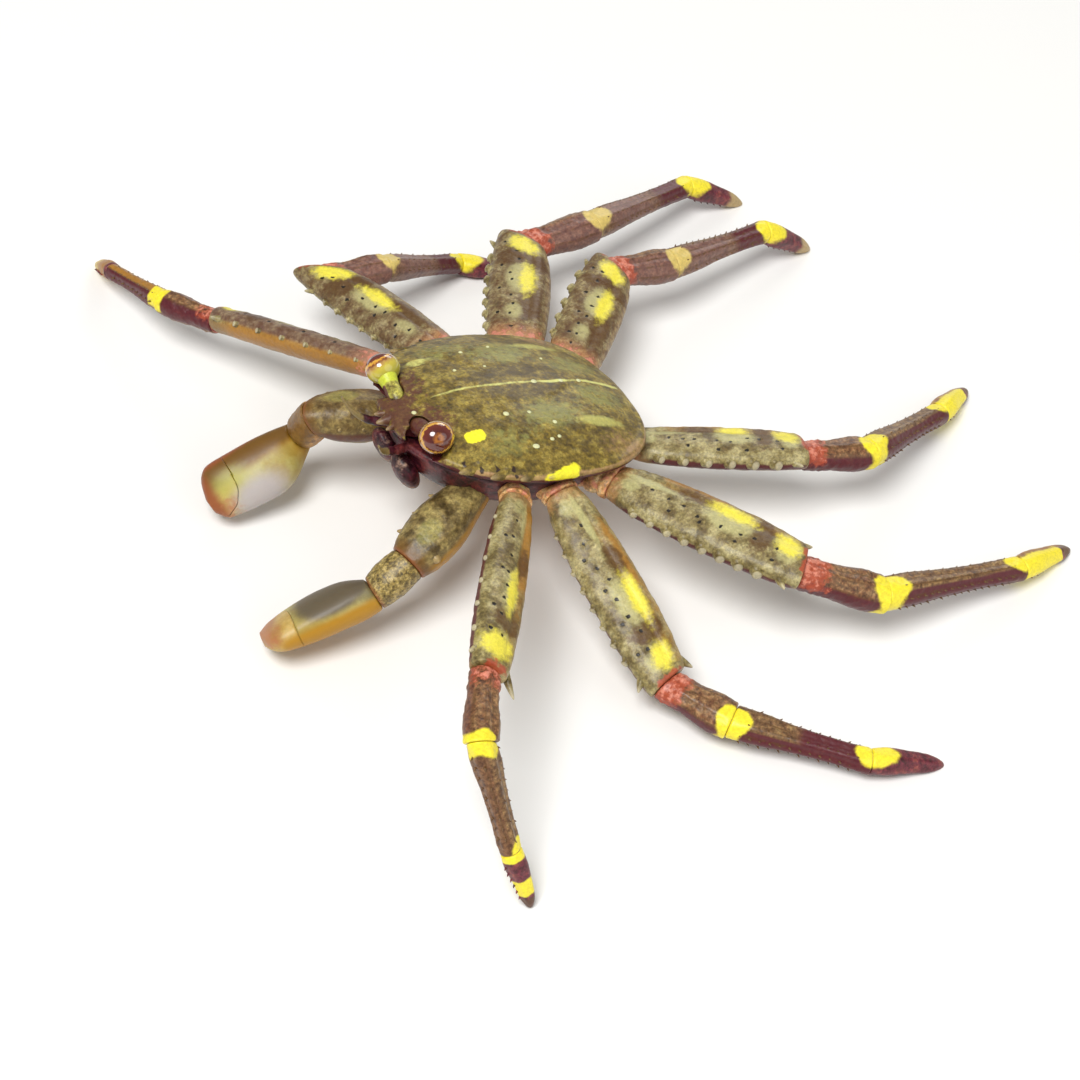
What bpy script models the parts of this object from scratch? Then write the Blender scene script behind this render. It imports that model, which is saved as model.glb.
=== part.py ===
"""A nimble spray crab, also sold as a sally lightfoot, as a still life-size museum model.

Units are metres and +Z is up. The head points along -X, so the crab's left side is at -Y.
The origin lies on the ground under the middle of the whole animal's box.
Every shell segment is its own closed solid, parted from its neighbour by a thin cut at the joint.
"""

import math

import bmesh
import bpy
from mathutils import Matrix, Vector

MM = 0.001
GAP = 0.3 * MM
LEFT, RIGHT = -1, 1

# Body: a flat disc of a shell, a little longer than wide, carried head high.
SHELL_LENGTH = 30.0 * MM
SHELL_WIDTH = 26.5 * MM
SHELL_DOME = 2.7 * MM
SHELL_EDGE = 0.55 * MM
SHELL_FLOOR = 1.1 * MM
BODY_PITCH = math.radians(13)
BODY_ROLL = math.radians(-4)
BODY_PLACE = Vector((-13.82, -2.171, 15.0)) * MM

# Under body: a bowl that closes the shell from below and carries the limbs.
THORAX_TOP = -1.45 * MM
THORAX_DEPTH = 5.3 * MM
THORAX_RIM = (13.9 * MM, 11.7 * MM)
THORAX_SOLE = (9.0 * MM, 6.4 * MM)

# Eyes sit in deep notches at the front corners of the shell.
EYE_PLACE = Vector((-12.7, 6.4, 2.0)) * MM
EYE_RADII = Vector((1.95, 1.75, 1.65)) * MM
STALK_ROOT = Vector((-12.6, 2.0, 0.5)) * MM
STALK_RADIUS = 1.0 * MM
ORBIT_RADIUS = 2.25 * MM

# Walking legs, by pair from front to back: where the leg leaves the body, where its base
# starts inside, and lengths and widths of merus, carpus, propodus and dactylus.
PAIRS = {
    2: {
        "root": (-6.6, 12.4, -3.2),
        "hip": (-3.4, 8.4, -3.2),
        "lengths": (25.7, 8.2, 11.3, 7.0),
        "widths": (5.4, 3.9, 3.1, 2.5),
        "flatness": (0.64, 0.85, 0.85, 0.9),
        "lift": 42,
        "spines": 6,
        "peg": 0.6,
    },
    3: {
        "root": (0.7, 12.4, -3.1),
        "hip": (0.4, 6.0, -3.1),
        "lengths": (23.2, 7.7, 14.7, 8.7),
        "widths": (6.3, 4.5, 3.7, 2.9),
        "flatness": (0.52, 0.8, 0.82, 0.9),
        "lift": -8,
        "spines": 8,
        "peg": 0.8,
    },
    4: {
        "root": (8.1, 11.6, -3.0),
        "hip": (4.2, 5.4, -3.0),
        "lengths": (22.5, 10.1, 19.7, 9.7),
        "widths": (7.6, 4.9, 3.9, 3.0),
        "flatness": (0.48, 0.8, 0.85, 0.9),
        "lift": 3,
        "spines": 8,
        "peg": 1.0,
    },
    5: {
        "root": (12.7, 7.5, -3.0),
        "hip": (7.4, 5.0, -3.2),
        "lengths": (19.5, 8.6, 17.5, 9.3),
        "widths": (7.1, 4.6, 3.9, 3.1),
        "flatness": (0.48, 0.8, 0.85, 0.9),
        "lift": 16,
        "spines": 6,
        "peg": 1.0,
    },
}
ARM_LIFT = math.radians(15)
TIP_LEVEL = 0.02 * MM

# Pose: heading round +Z and rise above the level of each segment, in degrees. The last rise
# isn't stated, because every tip comes down to the ground.
POSE = {
    (LEFT, 2): ((-124.6, 5), (-122, -4), (-87, -55), (-70, None)),
    (RIGHT, 2): ((120, -11), (120, -10), (103, -14), (90, None)),
    (LEFT, 3): ((-86.2, -21.2), (-59, -9), (-43, -4.2), (-18, None)),
    (RIGHT, 3): ((105, -4), (-3, -9), (18, -26), (-28, None)),
    (LEFT, 4): ((-58, -1.3), (-26, -23), (-2, -12), (10, None)),
    (RIGHT, 4): ((59, -1), (3, -5), (19, -11), (-10, None)),
    (LEFT, 5): ((-29, 1.2), (-11, -14), (21, -17), (28, None)),
    (RIGHT, 5): ((44, 4), (0, -13), (13, -10), (-3, None)),
}

# How far a swung hip carries a leg's root along the body, and towards its middle line.
ROOT_SLIDE = {(LEFT, 2): (1.6, 0.0), (LEFT, 5): (0.8, 1.8)}

# Spines of the legs: blunt pegs along the front border of each merus, and one at each far corner.
PEG_RADIUS, PEG_LENGTH, PEG_SINK = 0.46 * MM, 0.9 * MM, 0.55 * MM
# How far the root of each knee piece hangs below the line from joint to joint, by pair.
KNEE_SAG = {2: 0.45 * MM, 3: 0.55 * MM, 4: 0.6 * MM, 5: 0.5 * MM}
CORNER_SPINES = {2: (1.2, 3.0), 3: (1.6, 1.5), 4: (1.7, 1.3), 5: (1.3, 1.1)}

# Claws: the arm's root on the body, then heading and rise of arm, wrist and hand.
CLAW_ROOT = Vector((-6.3, 6.7, -5.0)) * MM
CLAW_LENGTHS = (11.8, 4.7, 12.7)
CLAW_SINK = 2.0 * MM
ARM_WIDTH, ARM_DEPTH = 6.2 * MM, 5.5 * MM
WRIST_WIDTH, WRIST_DEPTH = 4.3 * MM, 4.1 * MM
HAND_THICKNESS = 4.4 * MM
HAND_LEAN = Vector((-0.33, 0.81, 0.49))
CLAW_POSE = {
    LEFT: ((-156, -15), (-173, -29), (169.6, -19)),
    RIGHT: ((162.4, 3.4), (110, -62), (-174, -20)),
}
# Edges of the closed hand over its length, in mm from its axis: moving finger's side, then
# fixed finger's side. The gape runs down between the fingers.
HAND_TOP = ((0, 1.8), (0.16, 2.3), (0.38, 2.8), (0.6, 3.1), (0.8, 3.3), (0.88, 3.0), (0.95, 2.0), (1, 0.3))
HAND_BOTTOM = ((0, -1.5), (0.1, -2.4), (0.24, -3.6), (0.4, -4.1), (0.62, -3.8), (0.84, -3.2), (0.94, -2.7), (1, -1.5))
GAPE_LINE = ((8.6, 4.9), (8.9, 0.4), (9.7, -1.7), (11.3, -2.7), (14.0, -3.1))

# Colours and finish, read as linear values.
OLIVE = (0.16, 0.13, 0.05)
OCHRE = (0.45, 0.25, 0.05)
CORAL = (0.45, 0.12, 0.06)
WINE = (0.10, 0.015, 0.02)
YELLOW = (0.80, 0.65, 0.05)
IVORY = (0.60, 0.52, 0.50)
AMBER = (0.22, 0.07, 0.02)
SHELL_ROUGHNESS = 0.35
EYE_ROUGHNESS = 0.12

# How finely the rounded forms are faceted.
LIMB_SIDES = 12
DACTYL_SIDES = 8
SPINE_SIDES = 5
SHELL_SIDES = 48


def clear_scene():
    """Empty the scene that the script starts in."""
    for thing in list(bpy.data.objects):
        bpy.data.objects.remove(thing)


def finish(name, colour, roughness=SHELL_ROUGHNESS):
    """A plain finish of one node."""
    made = bpy.data.materials.new(f"{name}_finish")
    made.use_nodes = True
    shader = made.node_tree.nodes["Principled BSDF"]
    shader.inputs["Base Color"].default_value = (*colour, 1.0)
    shader.inputs["Roughness"].default_value = roughness
    shader.inputs["Metallic"].default_value = 0.0
    return made


def add_object(name, mesh_builder, colour=None, parent=None, roughness=SHELL_ROUGHNESS):
    """Turn a bmesh into a smooth shaded object, with a finish of its own if it has a colour."""
    bmesh.ops.recalc_face_normals(mesh_builder, faces=mesh_builder.faces)
    mesh = bpy.data.meshes.new(name)
    mesh_builder.to_mesh(mesh)
    mesh_builder.free()
    mesh.shade_smooth()
    thing = bpy.data.objects.new(name, mesh)
    if colour:
        mesh.materials.append(finish(name, colour, roughness))
    bpy.context.scene.collection.objects.link(thing)
    thing.parent = parent
    return thing


def loft(rings):
    """Skin a list of equal rings and close both ends with a fan."""
    built = bmesh.new()
    rows = [[built.verts.new(point) for point in ring] for ring in rings]
    count = len(rows[0])
    for near, far in zip(rows, rows[1:]):
        for i in range(count):
            j = (i + 1) % count
            built.faces.new((near[i], near[j], far[j], far[i]))
    for row in (rows[0], rows[-1]):
        centre = built.verts.new(sum((v.co for v in row), Vector()) / count)
        for i in range(count):
            built.faces.new((row[i], row[(i + 1) % count], centre))
    return built


def eased(points, t):
    """Value at t on a curve that eases between (place, value) pairs."""
    for (t0, v0), (t1, v1) in zip(points, points[1:]):
        if t <= t1:
            share = (t - t0) / (t1 - t0)
            return v0 + (v1 - v0) * (1 - math.cos(math.pi * share)) / 2
    return points[-1][1]


def oval(sides, roundness=2.0):
    """Unit points of a superellipse, as (across, through) pairs."""
    power = 2.0 / roundness
    angles = (2 * math.pi * k / sides for k in range(sides))
    return [
        (
            math.copysign(abs(math.cos(a)) ** power, math.cos(a)),
            math.copysign(abs(math.sin(a)) ** power, math.sin(a)),
        )
        for a in angles
    ]


def along(heading, rise):
    """Unit vector from a heading round +Z and a rise, in degrees."""
    h, r = math.radians(heading), math.radians(rise)
    return Vector((math.cos(h) * math.cos(r), math.sin(h) * math.cos(r), math.sin(r)))


def leaf_axes(direction, side, lift):
    """Axes of a flattened segment: across it towards the head, and through it upwards."""
    flat = Vector((direction.x, direction.y, 0)).normalized()
    ahead = Vector((-side * flat.y, side * flat.x, 0))
    upward = ahead.cross(direction) * -side
    across = ahead * math.cos(lift) + upward * math.sin(lift)
    return across, upward * math.cos(lift) - ahead * math.sin(lift)


def mitre(before, after):
    """Normal of the plane that parts two segments at their joint."""
    return (before + after).normalized()


def segment_rings(start, end, planes, axes, half_sizes, stations, bow=0.0, sag=0.0, sides=LIMB_SIDES):
    """Rings of one limb segment between two cut planes.

    half_sizes gives (half width, half thickness) at a share t of the length. Rings near an
    end lean over until the last one lies in the cut plane, half a gap short of the joint. bow
    lifts the middle of the segment, and sag lowers its root.
    """
    axis = end - start
    length = axis.length
    axis.normalize()
    across, through = axes
    rings = []
    for t in stations:
        half_width, half_depth = half_sizes(t)
        lean_start = max(0.0, 1 - t / 0.4)
        lean_end = max(0.0, 1 - (1 - t) / 0.4)
        ring = []
        for u, v in oval(sides, 2.2):
            offset = across * (u * half_width) + through * (v * half_depth - sag * (1 - t * t))
            shift = t * length
            for lean, plane, sign in ((lean_start, planes[0], 1), (lean_end, planes[1], -1)):
                if plane is not None:
                    shift += lean * (sign * GAP / 2 - offset.dot(plane)) / axis.dot(plane)
            arch = through * (bow * math.sin(math.pi * t))
            ring.append(start + axis * shift + offset + arch)
        rings.append(ring)
    return rings


def cone(at, direction, radius, length, sink, sides=SPINE_SIDES):
    """A closed spine that stands on a point, its root sunk below it."""
    built = bmesh.new()
    turn = direction.to_track_quat("Z", "Y").to_matrix().to_4x4()
    middle = at + direction * ((length - sink) / 2)
    bmesh.ops.create_cone(
        built,
        cap_ends=True,
        segments=sides,
        radius1=radius,
        radius2=radius * 0.22,
        depth=length + sink,
        matrix=Matrix.Translation(middle) @ turn,
    )
    return built


def ball(centre, radii, turn=Matrix(), across=12, down=8):
    """A closed ellipsoid."""
    built = bmesh.new()
    scale = Matrix.Diagonal((*radii, 1.0))
    bmesh.ops.create_uvsphere(
        built,
        u_segments=across,
        v_segments=down,
        radius=1.0,
        matrix=Matrix.Translation(centre) @ turn @ scale,
    )
    return built


def apply_boolean(target, builders, operation):
    """Join or cut target with closed bmeshes that share its frame, in one Boolean."""
    if not builders:
        return
    group = bpy.data.collections.new("operands")
    bpy.context.scene.collection.children.link(group)
    operands = []
    for builder in builders:
        operand = add_object("operand", builder, parent=target.parent)
        bpy.context.scene.collection.objects.unlink(operand)
        group.objects.link(operand)
        operands.append(operand)
    step = target.modifiers.new(operation.lower(), "BOOLEAN")
    step.operation = operation
    step.solver = "EXACT"
    step.operand_type = "COLLECTION"
    step.collection = group
    bpy.context.view_layer.update()
    graph = bpy.context.evaluated_depsgraph_get()
    coat = target.data.materials[0]
    made = bpy.data.meshes.new_from_object(target.evaluated_get(graph))
    target.modifiers.clear()
    target.data = made
    made.materials.clear()
    made.materials.append(coat)
    for operand in operands:
        bpy.data.objects.remove(operand)
    bpy.data.collections.remove(group)
    keep_largest(made)


def keep_largest(mesh):
    """Drop every closed surface of a mesh but the one with the largest box."""
    built = bmesh.new()
    built.from_mesh(mesh)
    unseen = set(built.verts)
    shells = []
    while unseen:
        stack = [unseen.pop()]
        shell = set(stack)
        while stack:
            for edge in stack.pop().link_edges:
                for vert in edge.verts:
                    if vert in unseen:
                        unseen.remove(vert)
                        shell.add(vert)
                        stack.append(vert)
        shells.append(shell)

    def bulk(shell):
        low = [min(v.co[i] for v in shell) for i in range(3)]
        high = [max(v.co[i] for v in shell) for i in range(3)]
        return math.prod(b - a for a, b in zip(low, high))

    shells.sort(key=bulk)
    loose = [v for shell in shells[:-1] for v in shell]
    bmesh.ops.delete(built, geom=loose, context="VERTS")
    bmesh.ops.triangulate(built, faces=built.faces)
    built.to_mesh(mesh)
    built.free()
    mesh.shade_smooth()


def body_frame():
    """An empty that carries the shell and all that is fixed to it, pitched head up."""
    frame = bpy.data.objects.new("body_frame", None)
    bpy.context.scene.collection.objects.link(frame)
    turn = Matrix.Rotation(BODY_ROLL, 4, "X") @ Matrix.Rotation(BODY_PITCH, 4, "Y")
    frame.matrix_world = Matrix.Translation(BODY_PLACE) @ turn
    bpy.context.view_layer.update()
    return frame


def shell_outline(angle):
    """Edge of the shell seen from above, at an angle from the tail end."""
    front = math.cos(angle) < 0
    power = 2.25 if front else 2.7
    c, s = abs(math.cos(angle)), abs(math.sin(angle))
    reach = (c**power + s**power) ** (-1 / power)
    x = reach * math.cos(angle) * SHELL_LENGTH / 2
    y = reach * math.sin(angle) * SHELL_WIDTH / 2
    return Vector((x, y, 0))


def shell_height(point):
    """Height of the shell's back, a flat dome with swollen regions and grooves."""
    u = point.x / (SHELL_LENGTH / 2)
    v = point.y / (SHELL_WIDTH / 2)
    rim = min(1.0, math.hypot(u, v))
    dome = SHELL_DOME * (1 - rim**2.6)
    middle = 0.35 * MM * math.exp(-((u + 0.25) ** 2) / 0.12 - v**2 / 0.06)
    heart = 0.3 * MM * math.exp(-((u - 0.45) ** 2) / 0.05 - v**2 / 0.05)
    gills = 0.3 * MM * math.exp(-((u - 0.2) ** 2) / 0.2 - (abs(v) - 0.55) ** 2 / 0.04)
    return dome + (middle + heart + gills) * (1 - rim**4)


def disc_mesh(outline, top, bottom, top_steps, bottom_steps, sides=SHELL_SIDES):
    """A closed disc from an outline, with height functions for both faces."""
    built = bmesh.new()
    rows = []
    for steps, height in ((top_steps, top), (reversed(bottom_steps), bottom)):
        for share in steps:
            row = []
            for k in range(sides):
                point = outline(2 * math.pi * k / sides) * share
                row.append(built.verts.new((point.x, point.y, height(point, share))))
            rows.append(row)
    for near, far in zip(rows, rows[1:]):
        for i in range(sides):
            j = (i + 1) % sides
            built.faces.new((near[i], near[j], far[j], far[i]))
    for row, height in ((rows[0], top), (rows[-1], bottom)):
        pole = built.verts.new((0, 0, height(Vector(), 0.0)))
        for i in range(sides):
            built.faces.new((row[i], row[(i + 1) % sides], pole))
    return built


def orbit_cutter(side):
    """The notch that an eye and its stalk lie in."""
    inner = Vector((STALK_ROOT.x - 0.4 * MM, side * (STALK_ROOT.y + 1.7 * MM), 0))
    outer = Vector((EYE_PLACE.x - 0.5 * MM, side * EYE_PLACE.y, EYE_PLACE.z - 0.3 * MM))
    axis = (outer - inner).normalized()
    across = Vector((0, 0, 1)).cross(axis).normalized()
    lift = axis.cross(across)
    rings = []
    for t in (0.0, 0.08, 0.3, 0.65, 0.88, 1.0):
        swell = eased(((0, 0.45), (0.08, 0.75), (0.3, 0.9), (0.7, 1.0), (0.88, 0.92), (1, 0.5)), t)
        start, end = inner - axis * 1.75 * MM, outer + axis * 2.2 * MM
        centre = start.lerp(end, t)
        size = ORBIT_RADIUS * swell
        rings.append([centre + across * (u * size) + lift * (v * size) for u, v in oval(12)])
    return loft(rings)


def shell_teeth():
    """Spines of the shell's front edge: four along each side and three on the brow."""
    teeth = []
    for side in (LEFT, RIGHT):
        for k, (degrees, length) in enumerate(((130.5, 1.9), (118, 1.7), (106, 1.5), (94, 1.2))):
            at = shell_outline(math.radians(degrees) * side)
            outward = Vector((at.x, at.y, 0)).normalized()
            lean = (Vector((-1, 0, 0)) * (0.95 - 0.1 * k) + outward * 0.45).normalized()
            root = at - outward * 0.75 * MM + Vector((0, 0, 0.05 * MM))
            teeth.append(cone(root, lean, 0.75 * MM, length * MM, 0.8 * MM))
    for y, reach, width in ((0, 1.5, 0.7), (-1.15, 1.1, 0.5), (1.15, 1.1, 0.5)):
        root = Vector((-SHELL_LENGTH / 2 + 0.3 * MM, y * MM, 0.0))
        lean = Vector((-1, 0.25 * y, -0.15)).normalized()
        teeth.append(cone(root, lean, width * MM, reach * MM, 0.9 * MM))
    return teeth


def build_shell(frame):
    """The carapace, a flat toothed disc with an eye notch at each front corner."""
    built = disc_mesh(
        shell_outline,
        lambda point, share: SHELL_EDGE + shell_height(point),
        lambda point, share: -SHELL_FLOOR + 0.6 * MM * max(0.0, share - 0.8) / 0.2,
        (0.18, 0.36, 0.54, 0.7, 0.84, 0.94, 1.0),
        (0.35, 0.7, 0.97),
    )
    shell = add_object("carapace", built, OLIVE, frame)
    cutters = []
    for side in (LEFT, RIGHT):
        cutters += [orbit_cutter(side), eye_ball(side, GAP), stalk_mesh(side, GAP)]
    apply_boolean(shell, cutters, "DIFFERENCE")
    apply_boolean(shell, shell_teeth(), "UNION")


def thorax_mesh(grow=0.0, sides=32):
    """The bowl under the shell. A grown copy cuts whatever sits against it."""

    def rim(angle):
        return Vector((math.cos(angle) * (THORAX_RIM[0] + grow), math.sin(angle) * (THORAX_RIM[1] + grow), 0))

    shares = (1.0, 0.97, 0.9, 0.8, 0.68)
    sole = THORAX_SOLE[1] / THORAX_RIM[1]

    def bowl(point, share):
        depth = 1 - ((share - sole) / (1 - sole)) ** 3 if share > sole else 1.0
        return THORAX_TOP - 0.5 * MM - (THORAX_DEPTH - 0.5 * MM) * max(0.0, depth) - grow

    return disc_mesh(rim, lambda point, share: THORAX_TOP + grow, bowl, (0.6, 1.0), (0.3, sole, *reversed(shares)), sides)


def build_thorax(frame):
    """The under body and the tail flap folded beneath it."""
    add_object("thorax", thorax_mesh(), WINE, frame)
    path = ((13.6, -1.9), (13.4, -4.0), (11.6, -6.1), (7.0, -7.15), (2.0, -7.3), (-2.5, -7.15))
    halves = (2.6, 2.8, 2.8, 2.7, 2.2, 0.9)
    rings = []
    for (x, z), half in zip(path, halves):
        centre = Vector((x, 0, z)) * MM
        slope = 0.0 if x < 8 else (1.0 if x > 13 else 0.5)
        through = Vector((slope, 0, -(1 - slope) - 0.2)).normalized()
        across = Vector((0, 1, 0))
        rings.append([centre + across * (u * half * MM) + through * (v * 0.55 * MM) for u, v in oval(12, 2.6)])
    flap = add_object("tail_flap", loft(rings), WINE, frame)
    apply_boolean(flap, [thorax_mesh(GAP)], "DIFFERENCE")
    return flap


def eye_axis(side):
    """Middle of an eye, root of its stalk, and the unit vector out along the stalk."""
    mirror = Vector((1, side, 1))
    eye, root = EYE_PLACE * mirror, STALK_ROOT * mirror
    return eye, root, (eye - root).normalized()


def eye_ball(side, grow=0.0):
    """An eye, or a grown copy of it that cuts whatever sits against it."""
    eye, _, axis = eye_axis(side)
    turn = axis.to_track_quat("Z", "Y").to_matrix().to_4x4()
    return ball(eye, EYE_RADII + Vector((grow, grow, grow)), turn, 14, 9)


def stalk_mesh(side, grow=0.0):
    """An eyestalk, or a grown copy of it as a cutter."""
    eye, root, axis = eye_axis(side)
    across = Vector((0, 0, 1)).cross(axis).normalized()
    lift = axis.cross(across)
    start, end = root - axis * grow, eye - axis * (EYE_RADII.z - 0.55 * MM)
    rings = []
    for t, share in ((0, 0.75), (0.25, 0.95), (0.6, 0.9), (1, 1.15)):
        centre = start.lerp(end, t)
        size = share * STALK_RADIUS + grow
        rings.append([centre + (across * u + lift * v) * size for u, v in oval(10)])
    return loft(rings)


def build_face(frame):
    """Eyes on short stalks, feelers, and the pair of plates that close the mouth."""
    for side, word in ((LEFT, "left"), (RIGHT, "right")):
        add_object(f"eye_{word}", eye_ball(side), AMBER, frame, EYE_ROUGHNESS)
        stalk = add_object(f"eyestalk_{word}", stalk_mesh(side), WINE, frame)
        apply_boolean(stalk, [eye_ball(side, GAP)], "DIFFERENCE")
        feeler_path = ((-13.2, 2.3, -2.1), (-15.4, 2.9, -1.9), (-17.0, 3.6, -1.2), (-18.2, 4.5, 0.2))
        rings = []
        for (x, y, z), size in zip(feeler_path, (0.62, 0.5, 0.36, 0.25)):
            centre = Vector((x, side * y, z)) * MM
            rings.append([centre + Vector((0, u, v)) * (size * MM) for u, v in oval(8)])
        feeler = add_object(f"antenna_{word}", loft(rings), WINE, frame)
        mouth_turn = Matrix.Rotation(math.radians(-35), 4, "Y")
        plate = ball(Vector((-12.7, side * 2.3, -5.25)) * MM, Vector((1.2, 1.95, 2.5)) * MM, mouth_turn, 10, 8)
        mouth = add_object(f"maxilliped_{word}", plate, OCHRE, frame)
        for thing in (feeler, mouth):
            apply_boolean(thing, [thorax_mesh(GAP)], "DIFFERENCE")


def leg_joints(frame, side, pair):
    """World places of a walking leg: hip, root, and the four joints out to the tip."""
    sizes = PAIRS[pair]
    mirror = Vector((1, side, 1))
    slide, inward = ROOT_SLIDE.get((side, pair), (0.0, 0.0))
    slid = Vector((slide, -side * inward, 0)) * MM
    hip, root = (Vector(sizes[place]) * MM * mirror for place in ("hip", "root"))
    joints = [frame.matrix_world @ hip, frame.matrix_world @ (root + slid)]
    for length, (heading, rise) in zip(sizes["lengths"], POSE[side, pair]):
        last = joints[-1]
        if rise is None:
            rise = math.degrees(math.asin((TIP_LEVEL - last.z) / (length * MM)))
        joints.append(last + along(heading, rise) * (length * MM))
    return joints


def half_size_curve(shape, width, depth, fill=1.0):
    """A function from a share of the length to half width and half depth of a segment."""
    return lambda t: (width / 2 * eased(shape, t), depth / 2 * eased(shape, t) ** fill)


# Each segment's name, how its width runs along it, how fast its depth follows the width,
# where its rings stand, and its colour.
SEGMENTS = (
    (
        "merus",
        ((0, 0.62), (0.1, 0.8), (0.35, 0.97), (0.6, 1.0), (0.88, 0.9), (1, 0.76)),
        0.6,
        (0, 0.06, 0.14, 0.28, 0.42, 0.56, 0.7, 0.82, 0.92, 1),
        OLIVE,
    ),
    (
        "carpus",
        ((0, 0.84), (0.3, 0.84), (0.75, 1.0), (1, 0.92)),
        1.0,
        (0, 0.15, 0.35, 0.55, 0.75, 0.9, 1),
        CORAL,
    ),
    (
        "propodus",
        ((0, 1.0), (0.12, 1.0), (0.45, 0.8), (0.75, 0.72), (1, 0.78)),
        1.0,
        (0, 0.12, 0.3, 0.5, 0.7, 0.88, 1),
        WINE,
    ),
    (
        "dactylus",
        ((0, 0.95), (0.2, 1.0), (0.5, 0.82), (0.8, 0.62), (0.92, 0.42), (1, 0.16)),
        1.0,
        (0, 0.12, 0.28, 0.45, 0.62, 0.78, 0.9, 1),
        YELLOW,
    ),
)


def merus_spines(start, end, axes, half_sizes, sizes, corners, knee):
    """Pegs along the front border of a merus, and a spine at each far corner.

    A corner spine on the inside of a sharply bent knee is left out, as it lies under the knee.
    """
    axis = (end - start).normalized()
    across = axes[0]
    spines = []
    count = sizes["spines"]
    for k in range(count):
        t = 0.17 + 0.66 * k / (count - 1)
        at = start.lerp(end, t) + across * (half_sizes(t)[0] - 0.18 * MM)
        size = (0.8 + 0.35 * t) * sizes["peg"]
        spines.append(cone(at, (axis * 0.6 + across).normalized(), PEG_RADIUS * size, PEG_LENGTH * size, PEG_SINK))
    for border, length, reach in zip((1, -1), corners, (0.9, 1.25)):
        if knee.dot(across) * border > 0.6:
            continue
        at = start.lerp(end, 0.93) + across * (border * (half_sizes(0.93)[0] - 0.45 * MM))
        lean = (axis * reach + across * border).normalized()
        spines.append(cone(at, lean, 0.58 * MM, length * MM, 0.7 * MM))
    return spines


def build_leg(frame, side, pair):
    """One walking leg: base, merus, carpus, propodus and dactylus."""
    word = "left" if side == LEFT else "right"
    sizes = PAIRS[pair]
    joints = leg_joints(frame, side, pair)
    directions = [(b - a).normalized() for a, b in zip(joints, joints[1:])]
    planes = [mitre(a, b) for a, b in zip(directions, directions[1:])]
    width = sizes["widths"][0] * MM * 0.68
    depth = width * sizes["flatness"][0] * 1.35
    lift = math.radians(sizes["lift"])
    axes = leaf_axes(directions[0], side, lift)
    rings = segment_rings(
        joints[0], joints[1], (None, planes[0]), axes, lambda t: (width / 2, depth / 2), (0, 0.45, 0.7, 0.88, 1)
    )
    base = add_object(f"leg{pair}_{word}_base", loft(rings), OCHRE)
    apply_boolean(base, [grown_thorax(frame)], "DIFFERENCE")
    for k, (name, shape, fill, stations, colour) in enumerate(SEGMENTS):
        width = sizes["widths"][k] * MM
        half_sizes = half_size_curve(shape, width, width * sizes["flatness"][k], fill)
        axes = leaf_axes(directions[k + 1], side, lift)
        ends = (planes[k], planes[k + 1] if k + 1 < len(planes) else None)
        start, end = joints[k + 1], joints[k + 2]
        last = name == "dactylus"
        rings = segment_rings(
            start,
            end,
            ends,
            axes,
            half_sizes,
            stations,
            bow=0.12 * MM if last else 0.0,
            sag=KNEE_SAG[pair] if name == "carpus" else 0.0,
            sides=DACTYL_SIDES if last else LIMB_SIDES,
        )
        if last:
            rings = [[Vector((p.x, p.y, max(p.z, 0.0))) for p in ring] for ring in rings]
        segment = add_object(f"leg{pair}_{word}_{name}", loft(rings), colour)
        if name == "merus":
            knee = directions[k + 2]
            spines = merus_spines(start, end, axes, half_sizes, sizes, CORNER_SPINES[pair], knee)
            apply_boolean(segment, spines, "UNION")


def grown_thorax(frame):
    """The thorax grown by one gap, in world space, as a cutter for what is set against it."""
    built = thorax_mesh(GAP)
    built.transform(frame.matrix_world)
    return built


def claw_joints(frame, side):
    """World places of a claw limb: root, elbow, wrist and tip."""
    joints = [frame.matrix_world @ (CLAW_ROOT * Vector((1, side, 1)))]
    for length, (heading, rise) in zip(CLAW_LENGTHS, CLAW_POSE[side]):
        joints.append(joints[-1] + along(heading, rise) * (length * MM))
    return joints


def arm_spines(start, end, axes, half_sizes):
    """The spine by the mouth, two pegs on the inner border and the knob over the elbow."""
    axis = (end - start).normalized()
    across, through = axes
    mouth = (across - through * 0.5).normalized()
    spines = []
    for t, lean, radius, length in (
        (0.4, mouth, 0.55, 1.7),
        (0.62, across + axis * 0.5, 0.45, 0.9),
        (0.8, across + axis * 0.6, 0.5, 1.1),
        (0.86, through * 0.7 - across + axis * 0.3, 0.8, 0.9),
    ):
        lean = lean.normalized()
        half_width, half_depth = half_sizes(t)
        reach = across * (lean.dot(across) * half_width) + through * (lean.dot(through) * half_depth)
        spines.append(cone(start.lerp(end, t) + reach * 0.9, lean, radius * MM, length * MM, 0.7 * MM))
    return spines


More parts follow.
